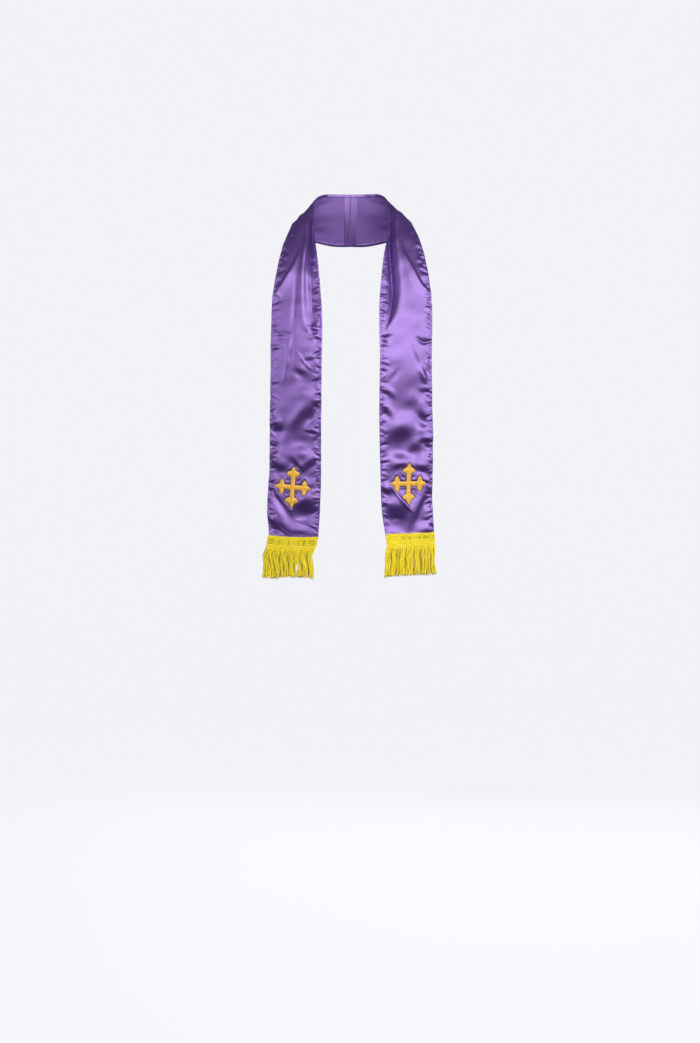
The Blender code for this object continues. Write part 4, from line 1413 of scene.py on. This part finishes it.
def cord_paths(side, place_at, seed):
    """The middle line of each cord, from the heading's top to its cut end, with its thickness, twist and
    painted shade.
    """
    rng = np.random.default_rng(seed + (0 if side == "left" else 50))
    paths, thick, turns, painted_shades_and_tones = [], [], [], []
    heading, width = place_at.heading, FRINGE_WIDTH[side]
    bundle = cord_bundles(rng)
    holes = rng.choice((0.15, 0.4, 1.0, 1.15), CORD_COUNT // 2)
    upper = np.linspace(1.0, heading, 26)
    lower = np.linspace(0.0, 1.0, 74)[1:]
    ends = MESH_END[side]
    open_part = smooth(upper, 5.6, 7.4) * (1.0 - smooth(upper, ends - 2.5, ends))
    mesh_wave = open_part * np.cos(2.0 * math.pi * (upper - MESH_TOP) / MESH_PITCH)
    for index in range(CORD_COUNT):
        front = index % 2 == 0
        share = (index + 0.5) / CORD_COUNT
        drop = cord_drop(side, index, share)
        hole = holes[index // 2] * smooth(share, *MESH_FROM[side])
        pinch = hole * (MESH_REACH if front else -MESH_REACH) / width
        uneven = 0.1 * rng.uniform(-0.15, 0.15, 2)[0]
        stand = HEADING_STAND + 0.1 * np.sin(upper * 1.3 + index)
        in_heading = place_at.on_heading(share + pinch * mesh_wave, upper, stand)

        lean = rng.normal(0.0, 0.6) + math.sin(19.0 * share + (1.0 if side == "left" else 3.0))
        lean *= 1.0 if front else 0.3
        sway = rng.uniform(0.4, 1.3) if front else 0.15
        phase = rng.uniform(0.0, 2.0 * math.pi)
        depth_phase = rng.uniform(0.0, 2.0 * math.pi)
        root = fringe_shift(side, share, 0.0)
        across = np.array([fringe_shift(side, share, down, front) for down in lower]) - root
        wave = sway * np.sin(3.3 * math.pi * lower + phase) * smooth(lower, 0.0, 0.3)
        across += lean * lower**1.5 + wave
        if front:
            gathered = smooth(lower, 0.08, 0.4) * (1.0 - 0.6 * smooth(lower, 0.78, 1.0))
            across += (bundle[index // 2] - share) * width * BUNDLE_PULL * gathered
        layer = FRONT_STAND if front else BACK_STAND
        depth = (layer - HEADING_STAND) * smooth(lower, 0.0, 0.16)
        depth += 0.5 * np.sin(2.2 * math.pi * lower + depth_phase) * smooth(lower, 0.1, 0.4)
        out = place_at.read(place_at.out, np.array([share]))[0]
        hanging = in_heading[-1] + place_at.over * across[:, None] + out * depth[:, None]
        hanging[:, 2] -= lower * drop
        paths.append(np.concatenate([in_heading, hanging]))

        below = np.concatenate([upper - heading, lower * drop])
        fat = rng.uniform(0.92, 1.06) if front else 1.25
        narrow = 0.17 * hole * np.concatenate([open_part, np.zeros(len(lower))])
        thick.append(0.62 - narrow + (0.38 * fat + 0.02) * smooth(below, -1.0, 9.0) + uneven)
        turns.append(np.full(len(below), rng.random()))
        # Painted shade: 0.95 on the back cords, which hang behind and between the front ones, and a random
        # tone of 0 to 0.32 on the front cords. Both rise from 4 mm above the heading's foot to 8 mm below
        # it.
        deep = rng.uniform(0.0, 0.32) if front else 0.95
        painted_shades_and_tones.append(deep * smooth(below, -4.0, 8.0) - 0.05)
    return paths, thick, turns, painted_shades_and_tones


def build_fringe_cords(side, place_at, sizes, material, tree):
    paths, thick, turns, painted_shades_and_tones = cord_paths(side, place_at, sizes.seed)
    piece = add_paths(
        side + "_fringe_cords", side, paths, {"thick": thick, "turn": turns, "painted_shade_and_tone": painted_shades_and_tones})
    tree.apply(piece, {
        "Ply radius": 0.5 * sizes.ply, "Ply offset": 0.44 * sizes.ply, "Twist pitch": sizes.twist,
        "Sides": 6, "Cord": material})
    return piece, paths


def build_fringe_ends(side, paths, sizes, material, tree):
    """Frayed fibres at the cut end of each cord."""
    rng = np.random.default_rng(sizes.seed + (9 if side == "left" else 10))
    fibres, facing, puff = [], [], []
    for path in paths:
        tip = path[-1]
        way = unit(path[-1] - path[-4])
        for _ in range(11):
            side_way = rng.normal(0.0, 1.0, 3)
            side_way -= way * side_way.dot(way)
            side_way = unit(side_way)
            root = tip - way * rng.uniform(0.6, 1.6) + side_way * rng.uniform(0.2, 1.2)
            length = rng.uniform(1.8, 4.2)
            spread = rng.uniform(0.1, 0.85)
            steps = np.linspace(0.0, 1.0, 3)[:, None]
            fibre = root + way * steps * length + side_way * spread * length * steps**1.6
            fibres.append(fibre)
            facing.append(np.repeat(side_way[None], 3, axis=0))
            puff.append(np.full(3, rng.uniform(-0.25, 0.25) * MM))
    piece = add_paths(side + "_fringe_ends", side, fibres, {"facing": facing, "puff": puff})
    return tree.apply(piece, {
        "Thread radius": 0.22 * MM, "Points": 5, "Sides": 3, "Thread": material})


def build_heading(side, place_at, sizes, material, tree):
    """Chains of the heading: two threads that cross over each cord, and loops at both sides."""
    paths, thick, turns = [], [], []
    share = np.linspace(-0.004, 1.004, 300)
    phase = share * math.pi * CORD_COUNT
    for chain in CHAINS:
        for way in (1.0, -1.0):
            below = chain.below + way * chain.half * np.sin(phase) + 0.15 * np.sin(phase * 0.37)
            lift = chain.lift + 0.45 * way * np.cos(phase)
            paths.append(place_at.on_heading(share, below, lift))
            thick.append(np.full(len(share), chain.thick))
            turns.append(np.zeros(len(share)))
    turn = np.linspace(-0.5 * math.pi, 0.5 * math.pi, 14)
    for edge, way in ((0.0, -1.0), (1.0, 1.0)):
        for upper, lower in LOOPS:
            middle, radius = 0.5 * (upper + lower), 0.5 * (lower - upper)
            loop = edge + way * (np.cos(turn) * 1.6 - 0.5) / FRINGE_WIDTH[side]
            paths.append(place_at.on_heading(loop, middle + radius * np.sin(turn), 1.9))
            thick.append(np.full(len(turn), 0.5))
            turns.append(np.zeros(len(turn)))
    piece = add_paths(side + "_fringe_heading", side, paths, {"thick": thick, "turn": turns})
    return tree.apply(piece, {
        "Ply radius": 0.5 * sizes.ply, "Ply offset": 0.42 * sizes.ply, "Twist pitch": 0.0046,
        "Sides": 5, "Cord": material})


def build_heading_tape(side, place_at, front, behind):
    """The thin woven tape behind the heading. Its front is painted dark as the shade that shows through the
    holes of the mesh.
    """
    share = np.linspace(0.002, 0.998, 60)
    below = np.linspace(0.7, place_at.heading - 1.5, 8)
    points = [place_at.on_heading(share, down, lift) for lift in (0.42, 0.12) for down in below]
    tall, wide = len(below), len(share)
    faces = slab_faces(tall, wide)
    piece = add_mesh(side + "_fringe_tape", side, np.concatenate(points), faces, [front, behind])
    layers = 2 * (tall - 1) * (wide - 1)
    kinds = [index % 2 if index < layers else 1 for index in range(len(faces))]
    piece.data.polygons.foreach_set("material_index", kinds)
    return piece


# Stage

CAMERA_PLACE = (-0.00096, -4.370, -0.602)
CAMERA_LENS = 75.485
FLOOR_HEIGHT = -1.55
FLOOR_RADIUS = 5.6
FLOOR_CURVE = 2.0
WALL_TOPS = (4.0, 7.0)
FLOOR_STEPS = 12
FLOOR_AROUND = 96
WORLD_COLOUR = (0.60, 0.50, 1.0, 1.0)

LIGHTS = (
    Light("key", (0.60, -3.0, 1.18), (0.0, -0.16, -0.34), 6.2, 2.2, 145.0, (0.98, 1.0, 0.92)),
    Light("front", (0.9, -4.4, -0.6), (0.0, -0.16, -0.55), 3.0, 1.2, 15.0, (1.0, 1.0, 1.0)),
    Light("side_left", (3.2, -1.5, 0.1), (0.0, -0.1, -0.35), 1.4, 2.0, 30.0, (1.0, 1.0, 1.0)),
    Light("side_right", (-3.2, -1.5, 0.1), (0.0, -0.1, -0.35), 1.4, 2.0, 28.0, (1.0, 1.0, 1.0)),
    Light("back", (0.6, 3.4, -0.3), (0.0, -0.1, -0.3), 3.0, 1.4, 70.0, (1.0, 1.0, 1.0)),
)


def aim(item, target):
    way = Vector(target) - item.location
    item.rotation_euler = way.to_track_quat("-Z", "Y").to_euler()


def floor_profile():
    """The floor from near its middle outwards, curving up into the wall: radius and height."""
    profile = [(radius, 0.0) for radius in (0.02, 1.5, 3.5, FLOOR_RADIUS)]
    for step in range(1, FLOOR_STEPS + 1):
        angle = step / FLOOR_STEPS * math.pi / 2.0
        profile.append((
            FLOOR_RADIUS + FLOOR_CURVE * math.sin(angle), FLOOR_CURVE - FLOOR_CURVE * math.cos(angle)))
    return profile + [(FLOOR_RADIUS + FLOOR_CURVE, height) for height in WALL_TOPS]


def build_floor(colour):
    """A pale floor that curves up into a wall all round."""
    profile = floor_profile()
    points, faces = [], []
    for radius, height in profile:
        for step in range(FLOOR_AROUND):
            angle = 2.0 * math.pi * step / FLOOR_AROUND
            points.append((radius * math.cos(angle), radius * math.sin(angle), FLOOR_HEIGHT + height))
    for ring in range(len(profile) - 1):
        for step in range(FLOOR_AROUND):
            a = ring * FLOOR_AROUND + step
            b = ring * FLOOR_AROUND + (step + 1) % FLOOR_AROUND
            faces.append((a, a + FLOOR_AROUND, b + FLOOR_AROUND, b))
    faces.append(tuple(range(FLOOR_AROUND)))
    mesh = bpy.data.meshes.new("studio_floor")
    mesh.from_pydata(points, [], faces)
    mesh.shade_smooth()
    material, shader, paint = new_material("pale_floor")
    grain = paint.node("ShaderNodeTexNoise", {
        "Vector": paint.node("ShaderNodeTexCoord").outputs["Object"], "Scale": 1.2})
    mottled = paint.mix(grain.outputs[0], tone(colour, 0.022), tone(colour, 0.026))
    paint.link(mottled, shader.inputs["Base Color"])
    set_inputs(shader, {
        "Roughness": 0.8, "Specular IOR Level": 0.1, "Emission Color": colour,
        "Emission Strength": 0.97})
    mesh.materials.append(material)
    floor = bpy.data.objects.new("studio_floor", mesh)
    floor.visible_diffuse = False
    floor.visible_glossy = False
    bpy.context.scene.collection.objects.link(floor)


def build_lamps():
    for lamp in LIGHTS:
        data = bpy.data.lights.new("lamp_" + lamp.name, "AREA")
        data.shape = "RECTANGLE"
        data.size = lamp.wide
        data.size_y = lamp.high
        data.energy = lamp.watts
        data.color = lamp.colour
        item = bpy.data.objects.new("lamp_" + lamp.name, data)
        item.location = lamp.place
        item.visible_camera = False
        bpy.context.scene.collection.objects.link(item)
        aim(item, lamp.aim)
    world = bpy.data.worlds.new("studio")
    world.use_nodes = True
    set_inputs(world.node_tree.nodes["Background"], {"Color": WORLD_COLOUR, "Strength": 0.12})
    bpy.context.scene.world = world


def build_camera():
    data = bpy.data.cameras.new("view")
    data.sensor_fit = "AUTO"
    data.sensor_width = 36.0
    data.lens = CAMERA_LENS
    camera = bpy.data.objects.new("view", data)
    camera.location = CAMERA_PLACE
    camera.rotation_euler = (math.radians(90.0), 0.0, 0.0)
    bpy.context.scene.collection.objects.link(camera)
    bpy.context.scene.camera = camera
    bpy.context.scene.view_settings.view_transform = "Standard"


# Operators and panel

CLOTHS = {}


def cloth_of(side):
    if side not in CLOTHS:
        scene = bpy.context.scene
        CLOTHS[side] = Cloth(side, scene.stole_cloth, scene.stole_stitching)
    return CLOTHS[side]


class STOLE_OT_stage(bpy.types.Operator):
    """Make the pale floor, the soft lamps and the camera"""

    bl_idname = "stole.stage"
    bl_label = "Stage"

    def execute(self, context):
        build_floor(tuple(context.scene.stole_colours.floor))
        build_lamps()
        build_camera()
        return {"FINISHED"}


class STOLE_OT_satin(bpy.types.Operator):
    """Make both halves of the satin strip"""

    bl_idname = "stole.satin"
    bl_label = "Satin strip"

    def execute(self, context):
        colours = context.scene.stole_colours
        grain = shared_grain()
        right = satin_material("satin_right_side", tuple(colours.satin), grain, True)
        wrong = satin_material("satin_wrong_side", tuple(colours.wrong_side), grain, False)
        for side in SIDES:
            piece = build_satin(side, cloth_of(side), [right, wrong])
            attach(piece, "root")
            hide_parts("stole_" + side)
        return {"FINISHED"}


class STOLE_OT_hem_stitches(bpy.types.Operator):
    """Sew running stitches along both long edges"""

    bl_idname = "stole.hem_stitches"
    bl_label = "Hem stitches"

    def execute(self, context):
        scene = context.scene
        material = thread_material("sewing_thread", tuple(scene.stole_colours.sewing), shared_grain())
        tree = running_stitch_tree()
        for side in SIDES:
            piece = build_hem_stitches(side, cloth_of(side), scene.stole_stitching, material, tree)
            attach(piece, "root")
        return {"FINISHED"}


class STOLE_OT_crosses(bpy.types.Operator):
    """Embroider the two budded crosses"""

    bl_idname = "stole.crosses"
    bl_label = "Embroidered crosses"

    def execute(self, context):
        scene = context.scene
        sizes, colours = scene.stole_embroidery, scene.stole_colours
        gold = gold_material("gold_thread", tuple(colours.gold), tuple(colours.gold_edge_highlight), shared_grain())
        padding = thread_material("gold_padding", tone(tuple(colours.gold), 0.7), shared_grain(), 0.6)
        tree = arched_stitch_tree()
        for side in SIDES:
            pad = build_cross_padding(side, cloth_of(side), sizes, padding)
            threads = build_cross_threads(side, cloth_of(side), sizes, gold, tree)
            for piece in (pad, threads):
                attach(piece, "root")
                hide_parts("cross_" + side)
        return {"FINISHED"}


class STOLE_OT_fringes(bpy.types.Operator):
    """Make both fringes with their headings"""

    bl_idname = "stole.fringes"
    bl_label = "Fringes"

    def execute(self, context):
        scene = context.scene
        sizes = scene.stole_fringe
        material = cord_material("fringe_cord", tuple(scene.stole_colours.fringe), shared_grain())
        frayed = cord_material("frayed_ends", FRAYED_COLOUR, shared_grain())
        fringe = tuple(scene.stole_colours.fringe)
        # Painted shade: the tape's front is the fringe's colour at 0.28, so the heading's holes look shaded.
        # Its back keeps 0.85 of that colour.
        tape = thread_material("heading_tape_painted_shade", tone(fringe, 0.28), shared_grain(), 0.8)
        tape_back = thread_material("heading_tape_back", tone(fringe, 0.85), shared_grain(), 0.7)
        cords = plied_cord_tree()
        fibres = arched_stitch_tree()
        for side in SIDES:
            place_at = FringeFrame(side, cloth_of(side), sizes)
            hanging, paths = build_fringe_cords(side, place_at, sizes, material, cords)
            pieces = (
                hanging,
                build_fringe_ends(side, paths, sizes, frayed, fibres),
                build_heading(side, place_at, sizes, material, cords),
                build_heading_tape(side, place_at, tape, tape_back),
            )
            for piece in pieces:
                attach(piece, "root")
                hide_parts("fringe_" + side)
        return {"FINISHED"}


class STOLE_OT_declare(bpy.types.Operator):
    """A last step that makes and changes nothing"""

    bl_idname = "stole.declare"
    bl_label = "Flat cut"

    def execute(self, context):
        return {"FINISHED"}


class STOLE_PT_parts(bpy.types.Panel):
    """Lists the sizes, colours and steps of the stole"""

    bl_label = "Clerical stole"
    bl_idname = "STOLE_PT_parts"
    bl_space_type = "VIEW_3D"
    bl_region_type = "UI"
    bl_category = "Stole"

    def draw(self, context):
        scene = context.scene
        for title, group in (
            ("Satin strip", scene.stole_cloth), ("Hem stitches", scene.stole_stitching),
            ("Crosses", scene.stole_embroidery), ("Fringes", scene.stole_fringe),
            ("Colours", scene.stole_colours),
        ):
            box = self.layout.box()
            box.label(text=title)
            for name in group.__annotations__:
                box.prop(group, name)
        for operator in OPERATORS:
            self.layout.operator(operator.bl_idname)


GROUPS = (
    ("stole_cloth", StoleCloth), ("stole_stitching", StoleStitching),
    ("stole_embroidery", StoleEmbroidery), ("stole_fringe", StoleFringe),
    ("stole_colours", StoleColours),
)
OPERATORS = (
    STOLE_OT_stage, STOLE_OT_satin, STOLE_OT_hem_stitches, STOLE_OT_crosses, STOLE_OT_fringes,
    STOLE_OT_declare,
)


def register():
    for name, group in GROUPS:
        bpy.utils.register_class(group)
        setattr(bpy.types.Scene, name, PointerProperty(type=group))
    for item in OPERATORS + (STOLE_PT_parts,):
        bpy.utils.register_class(item)


def unregister():
    for item in reversed(OPERATORS + (STOLE_PT_parts,)):
        bpy.utils.unregister_class(item)
    for name, group in reversed(GROUPS):
        delattr(bpy.types.Scene, name)
        bpy.utils.unregister_class(group)


def main():
    register()
    bpy.ops.stole.stage()
    bpy.ops.stole.satin()
    bpy.ops.stole.hem_stitches()
    bpy.ops.stole.crosses()
    bpy.ops.stole.fringes()
    bpy.ops.stole.declare()


if __name__ == "__main__":
    main()
